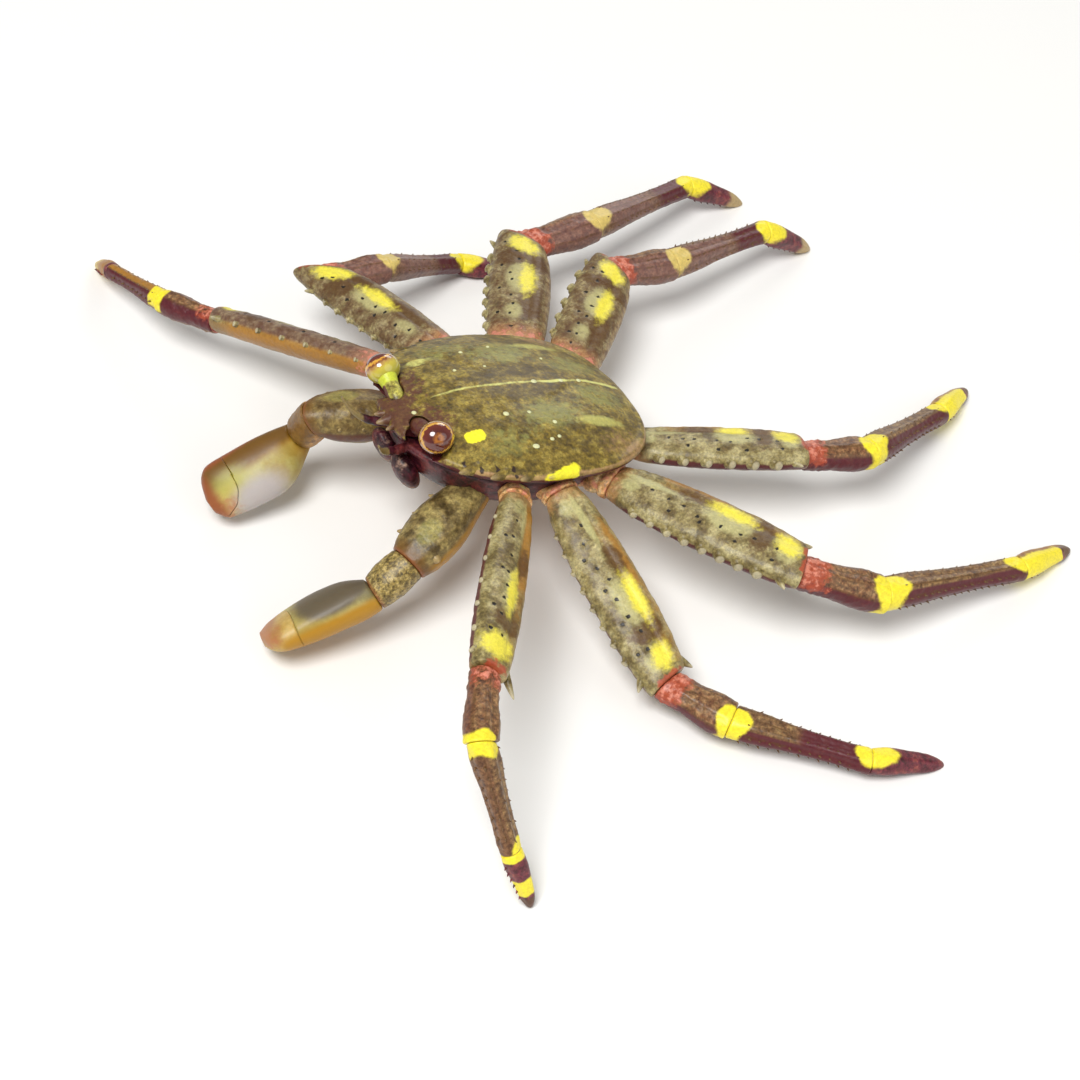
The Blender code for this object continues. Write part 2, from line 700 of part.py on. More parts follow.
def build_claw(frame, side):
    """One claw limb: arm, wrist, swollen palm with its fixed finger, and the moving finger."""
    word = "left" if side == LEFT else "right"
    joints = claw_joints(frame, side)
    directions = [(b - a).normalized() for a, b in zip(joints, joints[1:])]
    planes = [mitre(a, b) for a, b in zip(directions, directions[1:])]
    shape = ((0, 0.5), (0.3, 0.76), (0.65, 1.0), (0.88, 0.88), (1, 0.7))
    start = joints[0] - directions[0] * CLAW_SINK
    axes = leaf_axes(directions[0], side, ARM_LIFT)
    half_sizes = half_size_curve(shape, ARM_WIDTH, ARM_DEPTH)
    stations = (0, 0.2, 0.38, 0.55, 0.7, 0.82, 0.92, 1)
    rings = segment_rings(start, joints[1], (None, planes[0]), axes, half_sizes, stations)
    arm = add_object(f"claw_{word}_arm", loft(rings), OLIVE)
    apply_boolean(arm, [grown_thorax(frame)], "DIFFERENCE")
    apply_boolean(arm, arm_spines(start, joints[1], axes, half_sizes), "UNION")
    swell = ((0, 0.96), (0.5, 1.0), (1, 0.86))
    rings = segment_rings(
        joints[1],
        joints[2],
        (planes[0], planes[1]),
        leaf_axes(directions[1], side, ARM_LIFT),
        half_size_curve(swell, WRIST_WIDTH, WRIST_DEPTH),
        (0, 0.25, 0.5, 0.75, 1),
    )
    add_object(f"claw_{word}_wrist", loft(rings), CORAL)
    build_hand(word, side, joints[2], joints[3], planes[1])


def hand_mesh(side, wrist, tip, plane):
    """The whole closed hand, palm and both fingers in one loft."""
    direction, height, through = hand_axes(side, wrist, tip)
    length = (tip - wrist).length
    depth_shape = ((0, 0.82), (0.15, 1.0), (0.42, 1.02), (0.7, 0.88), (0.9, 0.62), (1, 0.36))
    rings = []
    for t in (0, 0.07, 0.16, 0.27, 0.4, 0.53, 0.66, 0.78, 0.86, 0.92, 0.97, 1):
        top, bottom = eased(HAND_TOP, t) * MM, eased(HAND_BOTTOM, t) * MM
        deep = HAND_THICKNESS / 2 * eased(depth_shape, t)
        lean = max(0.0, 1 - t / 0.3)
        ring = []
        for u, v in oval(14, 2.3):
            offset = height * ((top + bottom) / 2 + u * (top - bottom) / 2) + through * (v * deep)
            shift = t * length + lean * (GAP / 2 - offset.dot(plane)) / direction.dot(plane)
            ring.append(wrist + direction * shift + offset)
        rings.append(ring)
    return loft(rings)


def hand_axes(side, wrist, tip):
    """Out along the hand, up it towards the moving finger, and through it."""
    direction = (tip - wrist).normalized()
    lean = HAND_LEAN * Vector((1, side, 1))
    height = (lean - direction * lean.dot(direction)).normalized()
    return direction, height, direction.cross(height) * side


def gape_block(side, wrist, tip, shift):
    """A prism over the moving finger's side of the gape, shifted off the gape line."""
    direction, height, through = hand_axes(side, wrist, tip)
    profile = [(a + shift, b + shift) for a, b in GAPE_LINE] + [(14.5, 5.6), (9.0, 6.0)]
    built = bmesh.new()
    near, far = [], []
    for a, b in profile:
        middle = wrist + direction * (a * MM) + height * (b * MM)
        near.append(built.verts.new(middle - through * HAND_THICKNESS))
        far.append(built.verts.new(middle + through * HAND_THICKNESS))
    for i in range(len(profile)):
        j = (i + 1) % len(profile)
        built.faces.new((near[i], near[j], far[j], far[i]))
    built.faces.new(near)
    built.faces.new(list(reversed(far)))
    return built


def build_hand(word, side, wrist, tip, plane):
    """The palm and the moving finger, parted along the gape."""
    palm = add_object(f"claw_{word}_palm", hand_mesh(side, wrist, tip, plane), IVORY)
    finger = add_object(f"claw_{word}_finger", hand_mesh(side, wrist, tip, plane), CORAL)
    apply_boolean(palm, [gape_block(side, wrist, tip, 0.0)], "DIFFERENCE")
    apply_boolean(finger, [gape_block(side, wrist, tip, 0.3)], "INTERSECT")


def main():
    """Build the crab from the shell outwards."""
    clear_scene()
    frame = body_frame()
    build_shell(frame)
    build_thorax(frame)
    build_face(frame)
    for side in (LEFT, RIGHT):
        for pair in PAIRS:
            build_leg(frame, side, pair)
        build_claw(frame, side)


main()
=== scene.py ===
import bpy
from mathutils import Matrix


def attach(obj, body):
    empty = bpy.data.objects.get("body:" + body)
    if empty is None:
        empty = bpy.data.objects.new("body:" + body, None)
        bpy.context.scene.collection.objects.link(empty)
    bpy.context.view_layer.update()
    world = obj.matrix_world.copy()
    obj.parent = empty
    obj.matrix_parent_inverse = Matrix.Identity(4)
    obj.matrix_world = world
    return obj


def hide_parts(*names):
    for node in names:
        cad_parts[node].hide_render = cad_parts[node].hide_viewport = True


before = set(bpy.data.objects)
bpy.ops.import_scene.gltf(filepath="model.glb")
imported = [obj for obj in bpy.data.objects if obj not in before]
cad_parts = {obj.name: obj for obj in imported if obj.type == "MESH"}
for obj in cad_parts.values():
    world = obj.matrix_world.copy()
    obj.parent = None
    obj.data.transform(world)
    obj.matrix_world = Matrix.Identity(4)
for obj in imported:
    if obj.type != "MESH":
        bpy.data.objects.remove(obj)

"""A nimble spray crab as a life-size museum model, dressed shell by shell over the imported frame.

Units are metres and +Z is up. The head points along -X, so the crab's left side is at -Y.
The sizes and the pose are those of the part's own source, written out again here.
"""

import logging
import math
from collections.abc import Iterable
from dataclasses import dataclass, field
from enum import Enum
from typing import ClassVar

import bmesh
import bpy
import numpy as np
from mathutils import Matrix, Vector, noise

LOG = logging.getLogger("crab")
MM = 0.001
SEAM = 0.06 * MM
Array = np.ndarray
Curve = tuple[tuple[float, float], ...]
Tree, Node, Socket = bpy.types.NodeTree, bpy.types.Node, bpy.types.NodeSocket


class Side(Enum):
    """A side of the crab, valued by the sign of Y."""

    LEFT = -1
    RIGHT = 1

    @property
    def word(self) -> str:
        """The side's word in the names of nodes."""
        return self.name.lower()

    @property
    def left(self) -> bool:
        """Whether this is the left side."""
        return self is Side.LEFT

    @property
    def mirror(self) -> Vector:
        """Factors that carry a right side place to this side."""
        return Vector((1, self.value, 1))


def smoothstep(low: float, high: float, x: Array) -> Array:
    """A soft step from 0 at low to 1 at high."""
    t = np.clip((x - low) / (high - low), 0, 1)
    return t * t * (3 - 2 * t)


def band(x: Array, low: float, high: float, soft: float) -> Array:
    """1 between low and high, with soft ends."""
    return smoothstep(low - soft, low + soft, x) * smoothstep(high + soft, high - soft, x)


def blob(
    x: Array, y: Array, centre: tuple[float, float], half: tuple[float, float], soft: float = 0.3
) -> Array:
    """1 inside an ellipse, 0 outside it, with a soft edge."""
    reach = np.hypot((x - centre[0]) / half[0], (y - centre[1]) / half[1])
    return smoothstep(1 + soft, 1 - soft, reach)


def blobs(x: Array, y: Array, *spots: tuple) -> Array:
    """The strongest of several soft ellipses, given by strength, centre, half sizes and softness."""
    return np.maximum.reduce([share * blob(x, y, centre, half, soft) for share, centre, half, soft in spots])


def lengthwise(u: Array) -> Array:
    """Fine lines along a segment."""
    return smoothstep(0.2, 0.9, np.cos(13 * u))


def curve(points: Curve, t: Array) -> Array:
    """A smooth curve through (place, value) pairs, level where it turns and held beyond its ends.

    Args:
        points: The pairs, in order of place.
        t: Where to read the curve.

    Returns:
        The curve's values, one for each t.
    """
    x = np.array([p[0] for p in points], float)
    y = np.array([p[1] for p in points], float)
    steps = np.diff(y) / np.diff(x)
    slopes = np.concatenate(([steps[0]], (steps[1:] + steps[:-1]) / 2, [steps[-1]]))
    flat = np.concatenate(([False], steps[1:] * steps[:-1] <= 0, [False]))
    slopes[flat] = 0.0
    t = np.clip(np.asarray(t, float), x[0], x[-1])
    k = np.clip(np.searchsorted(x, t) - 1, 0, len(x) - 2)
    h = x[k + 1] - x[k]
    q = (t - x[k]) / h
    rise = q * q * (3 - 2 * q)
    return (
        y[k] * (1 - rise)
        + y[k + 1] * rise
        + slopes[k] * h * q * (1 - q) ** 2
        - slopes[k + 1] * h * q * q * (1 - q)
    )


def oval(sides: int, roundness: float = 2.0) -> tuple[Array, Array]:
    """Unit points of a superellipse, as across and through values.

    Args:
        sides: How many points there are round it.
        roundness: 2 for an ellipse, and more for a boxier outline.

    Returns:
        The values across and the values through.
    """
    a = 2 * math.pi * np.arange(sides) / sides
    c, s = np.cos(a), np.sin(a)
    power = 2 / roundness
    return np.sign(c) * np.abs(c) ** power, np.sign(s) * np.abs(s) ** power


def along(heading: float, rise: float) -> Vector:
    """Unit vector from a heading round +Z and a rise, in degrees."""
    h, r = math.radians(heading), math.radians(rise)
    return Vector((math.cos(h) * math.cos(r), math.sin(h) * math.cos(r), math.sin(r)))


def leaf_axes(direction: Vector, side: Side, lift: float) -> tuple[Vector, Vector]:
    """Axes of a flattened segment: across it towards the head, and through it upwards.

    Args:
        direction: The way the segment points.
        side: Which side of the crab.
        lift: How far the front border tips up, in radians.

    Returns:
        The unit vectors across and through.
    """
    flat = Vector((direction.x, direction.y, 0)).normalized()
    ahead = Vector((-side.value * flat.y, side.value * flat.x, 0))
    upward = ahead.cross(direction) * -side.value
    across = ahead * math.cos(lift) + upward * math.sin(lift)
    return across, upward * math.cos(lift) - ahead * math.sin(lift)


def bends(places: list[Vector]) -> tuple[list[Vector], list[Vector]]:
    """Directions from joint to joint, and the normals of the planes that halve the bends."""
    ways = [(b - a).normalized() for a, b in zip(places, places[1:])]
    return ways, [(a + b).normalized() for a, b in zip(ways, ways[1:])]


def spread(t: Array, u: Array, v: Array) -> Array:
    """Places on a loft: the share along each ring, with the shares round it."""
    return np.stack(np.broadcast_arrays(t[:, None], u, v), 2)


def grain(points: Array, size_mm: float, seed: float = 0.0) -> Array:
    """Smooth noise from -1 to 1 at each point, with features of a real size.

    Args:
        points: Places of the points in the world.
        size_mm: Size of the features in mm.
        seed: Moves the noise to another patch.

    Returns:
        The noise at each point.
    """
    scale = 1 / (size_mm * MM)
    offset = Vector((seed, -seed, seed * 0.5))
    return np.array([noise.noise(Vector(p) * scale + offset) for p in points])


def pebbles(points: Array, size_mm: float) -> Array:
    """Rounded granules of a real size: 1 on their tops and 0 between them."""
    scale = 1 / (size_mm * MM)
    return np.array([max(0.0, 1 - 1.3 * noise.voronoi(Vector(p) * scale)[0][0]) for p in points])


@dataclass
class Surface:
    """Closed skins with a place and colour masks at every point.

    place holds the share along the piece, then the share across and through it from -1 to 1.
    out points out of the skin where relief can be laid on, and fades to nothing at the ends.
    """

    points: Array
    faces: list[tuple[int, ...]]
    place: Array
    masks: dict[str, Array] = field(default_factory=dict)
    out: Array | None = None

    def swell(self, rise: Array) -> None:
        """Lay relief on: how far each point moves out, in metres."""
        self.points = self.points + self.out * rise[:, None]

    @staticmethod
    def loft(rings: Array, place: Array | None = None) -> "Surface":
        """Skin equal rings and close both ends with a fan.

        Args:
            rings: Points by ring and by place round the ring.
            place: The same shape, with each point's place on the piece.

        Returns:
            The closed surface.
        """
        place = np.zeros_like(rings) if place is None else place
        rows, sides = rings.shape[:2]
        points = rings.reshape(-1, 3)
        spots = place.reshape(-1, 3)
        faces = []
        for r in range(rows - 1):
            for i in range(sides):
                j = (i + 1) % sides
                faces.append((r * sides + i, r * sides + j, (r + 1) * sides + j, (r + 1) * sides + i))
        for r in (0, rows - 1):
            centre = len(points)
            points = np.vstack((points, rings[r].mean(0)))
            spots = np.vstack((spots, place[r].mean(0)))
            for i in range(sides):
                faces.append((r * sides + i, r * sides + (i + 1) % sides, centre))
        return Surface(points, faces, spots)

    @staticmethod
    def join(parts: list["Surface"]) -> "Surface":
        """One surface from several, with masks that some lack filled with 0.

        Args:
            parts: The surfaces.

        Returns:
            The joined surface.
        """
        names = {name for part in parts for name in part.masks}
        faces, shift = [], 0
        for part in parts:
            faces += [tuple(i + shift for i in face) for face in part.faces]
            shift += len(part.points)
        masks = {
            name: np.concatenate([part.masks.get(name, np.zeros(len(part.points))) for part in parts])
            for name in names
        }
        points, place = np.vstack([part.points for part in parts]), np.vstack([part.place for part in parts])
        return Surface(points, faces, place, masks)

    def carve(self, cutters: list["Surface"], operation: str = "DIFFERENCE") -> "Surface":
        """Cut this surface with others.

        Args:
            cutters: Closed surfaces in the same frame.
            operation: What the cut keeps, as the boolean modifier names it.

        Returns:
            The cut surface, without places and masks.
        """
        group = bpy.data.collections.new("cutters")
        bpy.context.scene.collection.children.link(group)
        whole, *tools = (bpy.data.objects.new("solid", solid.mesh("solid")) for solid in (self, *cutters))
        bpy.context.scene.collection.objects.link(whole)
        for tool in tools:
            group.objects.link(tool)
        step = whole.modifiers.new("cut", "BOOLEAN")
        step.operation, step.solver = operation, "EXACT"
        step.operand_type, step.collection = "COLLECTION", group
        bpy.context.view_layer.update()
        cut = bpy.data.meshes.new_from_object(whole.evaluated_get(bpy.context.evaluated_depsgraph_get()))
        points = np.array([tuple(vertex.co) for vertex in cut.vertices])
        faces = [tuple(polygon.vertices) for polygon in cut.polygons]
        for solid in (whole, *tools):
            bpy.data.objects.remove(solid)
        bpy.data.collections.remove(group)
        bpy.data.meshes.remove(cut)
        return Surface(points, faces, np.zeros_like(points))

    def mesh(self, name: str) -> bpy.types.Mesh:
        """The surface as a smooth shaded mesh that faces outwards.

        Args:
            name: The mesh's name.

        Returns:
            The mesh.
        """
        made = bpy.data.meshes.new(name)
        made.from_pydata([tuple(p) for p in self.points], [], self.faces)
        built = bmesh.new()
        built.from_mesh(made)
        bmesh.ops.recalc_face_normals(built, faces=built.faces)
        built.to_mesh(made)
        built.free()
        made.shade_smooth()
        return made


def spike(
    at: Vector, direction: Vector, radius: float, length: float, sink: float,
    hook: Vector = Vector(), blunt: float = 0.25,
) -> Surface:
    """A tapering spine with a rounded tip.

    Args:
        at: Where its middle line leaves the surface that it grows from.
        direction: The way it points.
        radius: Its radius at the root.
        length: How far it stands out.
        sink: How far its root goes in.
        hook: How far the tip bends aside.
        blunt: Radius near the tip as a share of the root's.

    Returns:
        The spine, with a mask "tip" that grows towards its end.
    """
    direction = direction.normalized()
    across = direction.orthogonal().normalized()
    through = direction.cross(across)
    u, v = oval(10)
    stations = np.array([-1.0, 0.0, 0.25, 0.5, 0.72, 0.88, 0.96, 1.0])
    radii = radius * np.array([1.15, 1.0, 0.82, 0.64, 0.46, 0.3, 0.18, 0.05])
    radii[4:7] = np.maximum(radii[4:7], radius * blunt * np.array([1.3, 1.0, 0.6]))
    rings = []
    for t, r in zip(stations, radii):
        reach = t * length if t >= 0 else t * sink
        centre = at + direction * reach + hook * max(0.0, t) ** 2
        rings.append([centre + across * (a * r) + through * (b * r) for a, b in zip(u, v)])
    place = np.zeros((len(stations), len(u), 3))
    place[:, :, 0] = stations[:, None]
    made = Surface.loft(np.array([[tuple(p) for p in ring] for ring in rings]), place)
    made.masks["tip"] = np.clip(made.place[:, 0], 0, 1)
    return made


def ellipsoid(centre: Vector, radii: Vector, turn: Matrix, rows: int = 24, sides: int = 36) -> Surface:
    """A closed ellipsoid with its poles along the turned Z axis.

    Args:
        centre: Its middle.
        radii: Its three half sizes.
        turn: How it is turned.
        rows: How many rings there are from pole to pole.
        sides: How many points there are round it.

    Returns:
        The closed surface, with places that run from pole to pole.
    """
    angles = np.linspace(0.02, math.pi - 0.02, rows)
    a = 2 * math.pi * np.arange(sides) / sides
    x = np.sin(angles)[:, None] * np.cos(a)
    y = np.sin(angles)[:, None] * np.sin(a)
    z = np.cos(angles)[:, None] * np.ones(sides)
    place = np.stack((z, x, y), 2)
    local = np.stack((x * radii.x, y * radii.y, z * radii.z), 2)
    spin = np.array(turn.to_3x3())
    return Surface.loft(local @ spin.T + np.array(centre), place)


def plot(wide: Array, deep: Array, across: Array, through: Array) -> Array:
    """Offsets of the points of rings, from how far each lies across and through."""
    return wide[..., None] * across + deep[..., None] * through


def tube(start: Vector, end: Vector, axis: Vector, t: Array, radius: Array) -> Surface:
    """A straight round tube from start to end, with a radius at each share t of its length.

    Args:
        start: Middle of its first end.
        end: Middle of its other end.
        axis: Unit vector along it.
        t: Shares of the length at which the rings stand.
        radius: Radius of each ring.

    Returns:
        The closed tube.
    """
    across = Vector((0, 0, 1)).cross(axis).normalized()
    u, v = oval(36)
    middle = np.array(start) + t[:, None] * np.array(end - start)
    wide, deep = radius[:, None] * u, radius[:, None] * v
    ring = plot(wide, deep, np.array(across), np.array(axis.cross(across)))
    return Surface.loft(middle[:, None] + ring, spread(t, u, v))


def linear(code: str) -> tuple[float, float, float, float]:
    """A linear colour from an sRGB hex value."""
    parts = (int(code[i : i + 2], 16) / 255 for i in (1, 3, 5))
    return (*(c / 12.92 if c <= 0.04045 else ((c + 0.055) / 1.055) ** 2.4 for c in parts), 1.0)


def feed(tree: Tree, node: Node, inputs: dict) -> None:
    """Give a node its fixed input values and its links, by input name or number.

    Args:
        tree: The node tree.
        node: The node.
        inputs: Values or output sockets by input name or number.
    """
    for key, value in inputs.items():
        if isinstance(value, Socket):
            tree.links.new(value, node.inputs[key])
        else:
            node.inputs[key].default_value = value


def add_node(tree: Tree, kind: str, inputs: dict | None = None, **settings: object) -> Node:
    """Add a node, with its settings, its fixed input values and its links.

    Args:
        tree: The node tree to add to.
        kind: The node's type, without its leading ShaderNode.
        inputs: Values or output sockets by input name or number.
        settings: Properties of the node.

    Returns:
        The new node.
    """
    node = tree.nodes.new("ShaderNode" + kind)
    for name, value in settings.items():
        setattr(node, name, value)
    feed(tree, node, inputs or {})
    return node


def set_stops(ramp: Node, stops: Iterable[tuple[float, str]]) -> None:
    """Give a colour ramp its stops, as rising places and sRGB hex values.

    Args:
        ramp: The ramp's node.
        stops: The stops, in order of place.
    """
    elements = ramp.color_ramp.elements
    for k, (place, code) in enumerate(stops):
        stop = elements[k] if k < 2 else elements.new(place)
        stop.position, stop.color = place, linear(code)


def fresh_tree(name: str) -> tuple[bpy.types.Material, Tree, Node]:
    """A new material, its node tree and its Principled shader.

    Args:
        name: The material's name.

    Returns:
        The material, its tree and its shader.
    """
    made = bpy.data.materials.new(name)
    made.use_nodes = True
    return made, made.node_tree, made.node_tree.nodes["Principled BSDF"]


@dataclass(frozen=True)
class Marking:
    """One colour laid over the ground where a mask on the mesh says: most are pigments, and some are painted
    highlights, glints and shade.
    """

    mask: str
    colour: str
    ragged: float = 0.35
    strength: float = 1.0
    edge: tuple[float, float] = (0.3, 0.62)

    def share(self, tree: Tree, wander: Socket) -> Socket:
        """How much of the marking shows: its mask, with an edge that wanders with the noise.

        Args:
            tree: The node tree.
            wander: Noise round 0 that moves its edge.

        Returns:
            The output that says how much shows.
        """
        mask = add_node(tree, "Attribute", attribute_name=self.mask).outputs["Fac"]
        terms = {0: wander, 1: self.ragged * 2, 2: mask}
        bent = add_node(tree, "Math", terms, operation="MULTIPLY_ADD").outputs[0]
        span = {"Value": bent, "From Min": self.edge[0], "From Max": self.edge[1], "To Max": self.strength}
        cut = add_node(tree, "MapRange", span, interpolation_type="SMOOTHSTEP").outputs[0]
        keep = add_node(tree, "Math", {0: mask, 1: 8.0}, operation="MULTIPLY", use_clamp=True).outputs[0]
        return add_node(tree, "Math", {0: cut, 1: keep}, operation="MULTIPLY").outputs[0]


@dataclass(frozen=True)
class Cuticle:
    """Crab shell: chitin hardened with lime, thin and slightly waxy, wet-looking when varnished.

    The ground is a mottle of three pigments. Fine pale and dark grains lie over it, and each
    marking is a colour of its own with an edge that breaks up into the grain: most are pigments,
    and some are painted highlights, glints and shade. Chitin has an IOR of about 1.56, and the
    museum varnish adds a thin clear coat.
    """

    name: str
    ground: tuple[str, str, str]
    markings: tuple[Marking, ...] = ()
    mottle_mm: float = 2.4
    grain_mm: float = 0.42
    grain_depth: float = 0.5
    granule_mm: float = 0.55
    relief_mm: float = 0.07
    roughness: float = 0.42
    coat: float = 0.12
    glow: float = 0.06
    edge_mm: ClassVar[float] = 0.8
    ground_places: ClassVar[tuple[float, ...]] = (0.38, 0.5, 0.63)

    def material(self) -> bpy.types.Material:
        """The finish as a material.

        Returns:
            The material.
        """
        made, tree, shader = fresh_tree(self.name)
        where = add_node(tree, "TexCoord").outputs["Object"]
        fields = []
        for size, detail, rough in (
            (self.mottle_mm, 4.0, 0.62),
            (self.grain_mm, 3.0, 0.7),
            (self.edge_mm, 3.0, 0.65),
        ):
            inputs = {"Vector": where, "Scale": 1 / (size * MM), "Detail": detail, "Roughness": rough}
            fields.append(add_node(tree, "TexNoise", inputs).outputs["Fac"])
        mottle, speck, edge = fields
        ramp = add_node(tree, "ValToRGB", {"Fac": mottle})
        set_stops(ramp, zip(self.ground_places, self.ground))
        low, high = 1 - self.grain_depth, 1 + self.grain_depth
        span = {"Value": speck, "From Min": 0.3, "From Max": 0.7, "To Min": low, "To Max": high}
        shade = add_node(tree, "MapRange", span).outputs[0]
        grey = add_node(tree, "CombineColor", dict.fromkeys(range(3), shade)).outputs[0]
        times = {"data_type": "RGBA", "blend_type": "MULTIPLY"}
        colour = add_node(tree, "Mix", {0: 0.85, 6: ramp.outputs["Color"], 7: grey}, **times).outputs[2]
        wander = add_node(tree, "Math", {0: edge, 1: 0.5}, operation="SUBTRACT").outputs[0]
        for marking in self.markings:
            inputs = {0: marking.share(tree, wander), 6: colour, 7: linear(marking.colour)}
            colour = add_node(tree, "Mix", inputs, data_type="RGBA").outputs[2]
        toned = add_node(tree, "Mix", {0: 0.3, 6: colour, 7: grey}, **times)
        span = {"Value": speck, "To Min": self.roughness - 0.1, "To Max": self.roughness + 0.14}
        rough = add_node(tree, "MapRange", span)
        granule = add_node(tree, "TexVoronoi", {"Vector": where, "Scale": 1 / (self.granule_mm * MM)})
        terms = {0: granule.outputs["Distance"], 1: -0.6, 2: speck}
        swell = add_node(tree, "Math", terms, operation="MULTIPLY_ADD").outputs[0]
        terms = {"Height": swell, "Distance": self.relief_mm * MM, "Strength": 0.9}
        bump = add_node(tree, "Bump", terms)
        feed(tree, shader, {
            "Base Color": toned.outputs[2],
            "Roughness": rough.outputs[0],
            "Normal": bump.outputs[0],
            "IOR": 1.56,
            "Coat Weight": self.coat,
            "Coat Roughness": 0.2,
            "Specular IOR Level": 0.34,
            "Subsurface Weight": self.glow,
            "Subsurface Radius": (1.0, 0.55, 0.25),
            "Subsurface Scale": 0.5 * MM,
        })
        return made


YELLOW, PAINTED_HIGHLIGHT = "#f0de30", "#c6c084"
AMBER, BROWN, MAROON, MAUVE = "#a87424", "#54340e", "#54101e", "#7a5454"
CORAL, FLUSH, PIT = "#a8482c", "#c98c58", "#1c150c"

LEG_MARKS = (
    Marking("under", "#8a6a38", 0.2, 0.9, (0.1, 0.9)),
    Marking("flush", FLUSH, 0.45, 0.8, (0.1, 0.9)),
    Marking("tan", "#b8a06c", 0.3, 0.85, (0.1, 0.9)),
    Marking("amber", AMBER, 0.5, 0.85, (0.05, 0.95)),
    Marking("maroon", MAROON, 0.3, 0.95, (0.2, 0.75)),
    Marking("mauve", MAUVE, 0.3, 0.8, (0.1, 0.9)),
    Marking("brown", BROWN, 0.7, 0.85, (0.2, 0.8)),
    # Painted highlights on the leg plates and painted glints on the leg bases.
    Marking("pale", PAINTED_HIGHLIGHT, 0.6, 0.65, (0.1, 0.9)),
    Marking("cream", "#d9c06a", 0.5, 0.9, (0.1, 0.8)),
    Marking("lemon", "#e8da48", 0.7, 1.0, (0.05, 0.9)),
    Marking("yellow", YELLOW, 0.4, 1.0, (0.15, 0.75)),
    Marking("red", CORAL, 1.0, 0.9, (0.25, 0.75)),
    Marking("rose", "#d98a72", 1.2, 0.8, (0.4, 0.8)),
    Marking("tip", "#c6bc9c", 0.1, 0.7, (0.5, 1.0)),
    Marking("pit", PIT, 0.05),
)
# Upper leg shell, the broad grey-olive plates that are speckled like wet sand.
MERUS_SHELL = Cuticle(
    "speckled_leg_shell", ("#62532c", "#897b4c", "#a99d6e"), LEG_MARKS,
    mottle_mm=1.8, grain_mm=0.3, grain_depth=0.42,
)
# Knee shell, brown and rose, set with coarse granules.
CARPUS_SHELL = Cuticle(
    "granular_knee_shell", ("#5e3a22", "#7a5636", "#92704a"), LEG_MARKS,
    mottle_mm=0.8, grain_depth=0.6, granule_mm=0.45, relief_mm=0.06,
)
# Shin shell, brown olive on its ridge, with rows of fine spinules.
PROPODUS_SHELL = Cuticle(
    "ridged_shin_shell", ("#5c3e24", "#7a5a38", "#96784c"), LEG_MARKS,
    mottle_mm=0.8, grain_mm=0.3, grain_depth=0.5, relief_mm=0.04,
)
# Walking claw at the end of a leg, of smooth dark horn.
DACTYL_SHELL = Cuticle(
    "horny_foot_shell", ("#47161c", "#662430", "#7e3c36"), LEG_MARKS,
    mottle_mm=1.0, grain_mm=0.3, relief_mm=0.04,
)
# Short leg bases, orange and translucent at their seams.
BASE_SHELL = Cuticle("orange_base_shell", ("#a87440", "#d2a268", "#e2c28c"), LEG_MARKS, mottle_mm=1.4)
# The back, smooth to the eye and finely pitted, olive green with brown clouds, with painted shade in the gaps
# between its side teeth and painted glints on its warts.
BACK_SHELL = Cuticle(
    "olive_back_shell",
    ("#58481a", "#766222", "#95823a"),
    (
        Marking("moss", "#8f8e4c", 1.2, 0.7, (0.1, 0.9)),
        Marking("shade", "#4a3a1c", 1.4, 0.7, (0.2, 0.95)),
        Marking("mauve", "#5a3026", 1.8, 0.85, (0.1, 0.9)),
        Marking("rim", "#b89064", 0.7, 0.8, (0.1, 1.0)),
        Marking("maroon", MAROON, 0.4, 0.95),
        Marking("pale", "#c4bf66", 0.6, 0.75, (0.1, 0.9)),
        Marking("line", "#d6d47a", 0.35, 0.95, (0.25, 0.7)),
        Marking("yellow", "#f2e62c", 0.4, 1.0, (0.25, 0.7)),
        # Painted shade in the gaps between the side teeth.
        Marking("slit", "#2a1712", 0.1, 0.95),
        Marking("tip", "#a58d62", 0.1, 0.7, (0.4, 1.0)),
        # Painted glints on the warts.
        Marking("dot", "#dcdca8", 0.1, 0.9),
    ),
    mottle_mm=1.5,
    grain_mm=0.42,
    grain_depth=0.5,
    roughness=0.44,
    coat=0.08,
)
# Under body shell, dark wine.
UNDER_SHELL = Cuticle(
    "wine_under_shell",
    ("#26080f", "#451420", "#6a2c2a"),
    (
        Marking("amber", AMBER, 0.5, 0.8),
        Marking("pale", "#c9a58a", 0.5, 0.7),
        Marking("tip", "#8d7a48", 0.3, 0.8),
    ),
    mottle_mm=1.6,
)
CLAW_MARKS = (
    Marking("maroon", MAROON, 0.3, 0.9, (0.1, 0.9)),
    Marking("olive", "#6d6440", 0.3, 0.9, (0.1, 0.9)),
    Marking("gold", "#b07e0e", 0.1, 0.95, (0.05, 0.95)),
    Marking("bronze", "#6a4812", 0.15, 0.95, (0.05, 0.95)),
    Marking("lime", "#b0ae4c", 0.15, 0.85, (0.05, 0.95)),
    Marking("violet", "#b8b0ae", 0.1, 0.95, (0.05, 0.95)),
    Marking("slate", "#5c5040", 0.15, 0.95, (0.1, 0.9)),
    Marking("rust", "#8f4c26", 0.2, 0.95, (0.05, 0.95)),
    Marking("pink", "#b0744a", 0.9, 0.85, (0.1, 0.9)),
    Marking("pale", "#b9ad86", 0.4, 0.8, (0.1, 0.9)),
    Marking("tip", "#a98f5c", 0.2, 0.8),
)
# Arm shell of the claws, thin olive brown chitin.
ARM_SHELL = Cuticle("olive_arm_shell", ("#50401e", "#7c6a3e", "#9c8a52"), CLAW_MARKS, mottle_mm=1.8)
# Wrist shell of the left claw, speckled like the legs.
SPECKLED_WRIST = Cuticle(
    "speckled_wrist_shell", ("#5c4a24", "#8a763e", "#a8925a"), CLAW_MARKS,
    mottle_mm=0.5, grain_mm=0.3, grain_depth=0.7,
)
# Wrist shell of the right claw, orange.
WRIST_SHELL = Cuticle("orange_wrist_shell", ("#8a5a24", "#b88438", "#cfa258"), CLAW_MARKS, mottle_mm=1.4)
POLISH = {"roughness": 0.46, "coat": 0.1, "glow": 0.2}
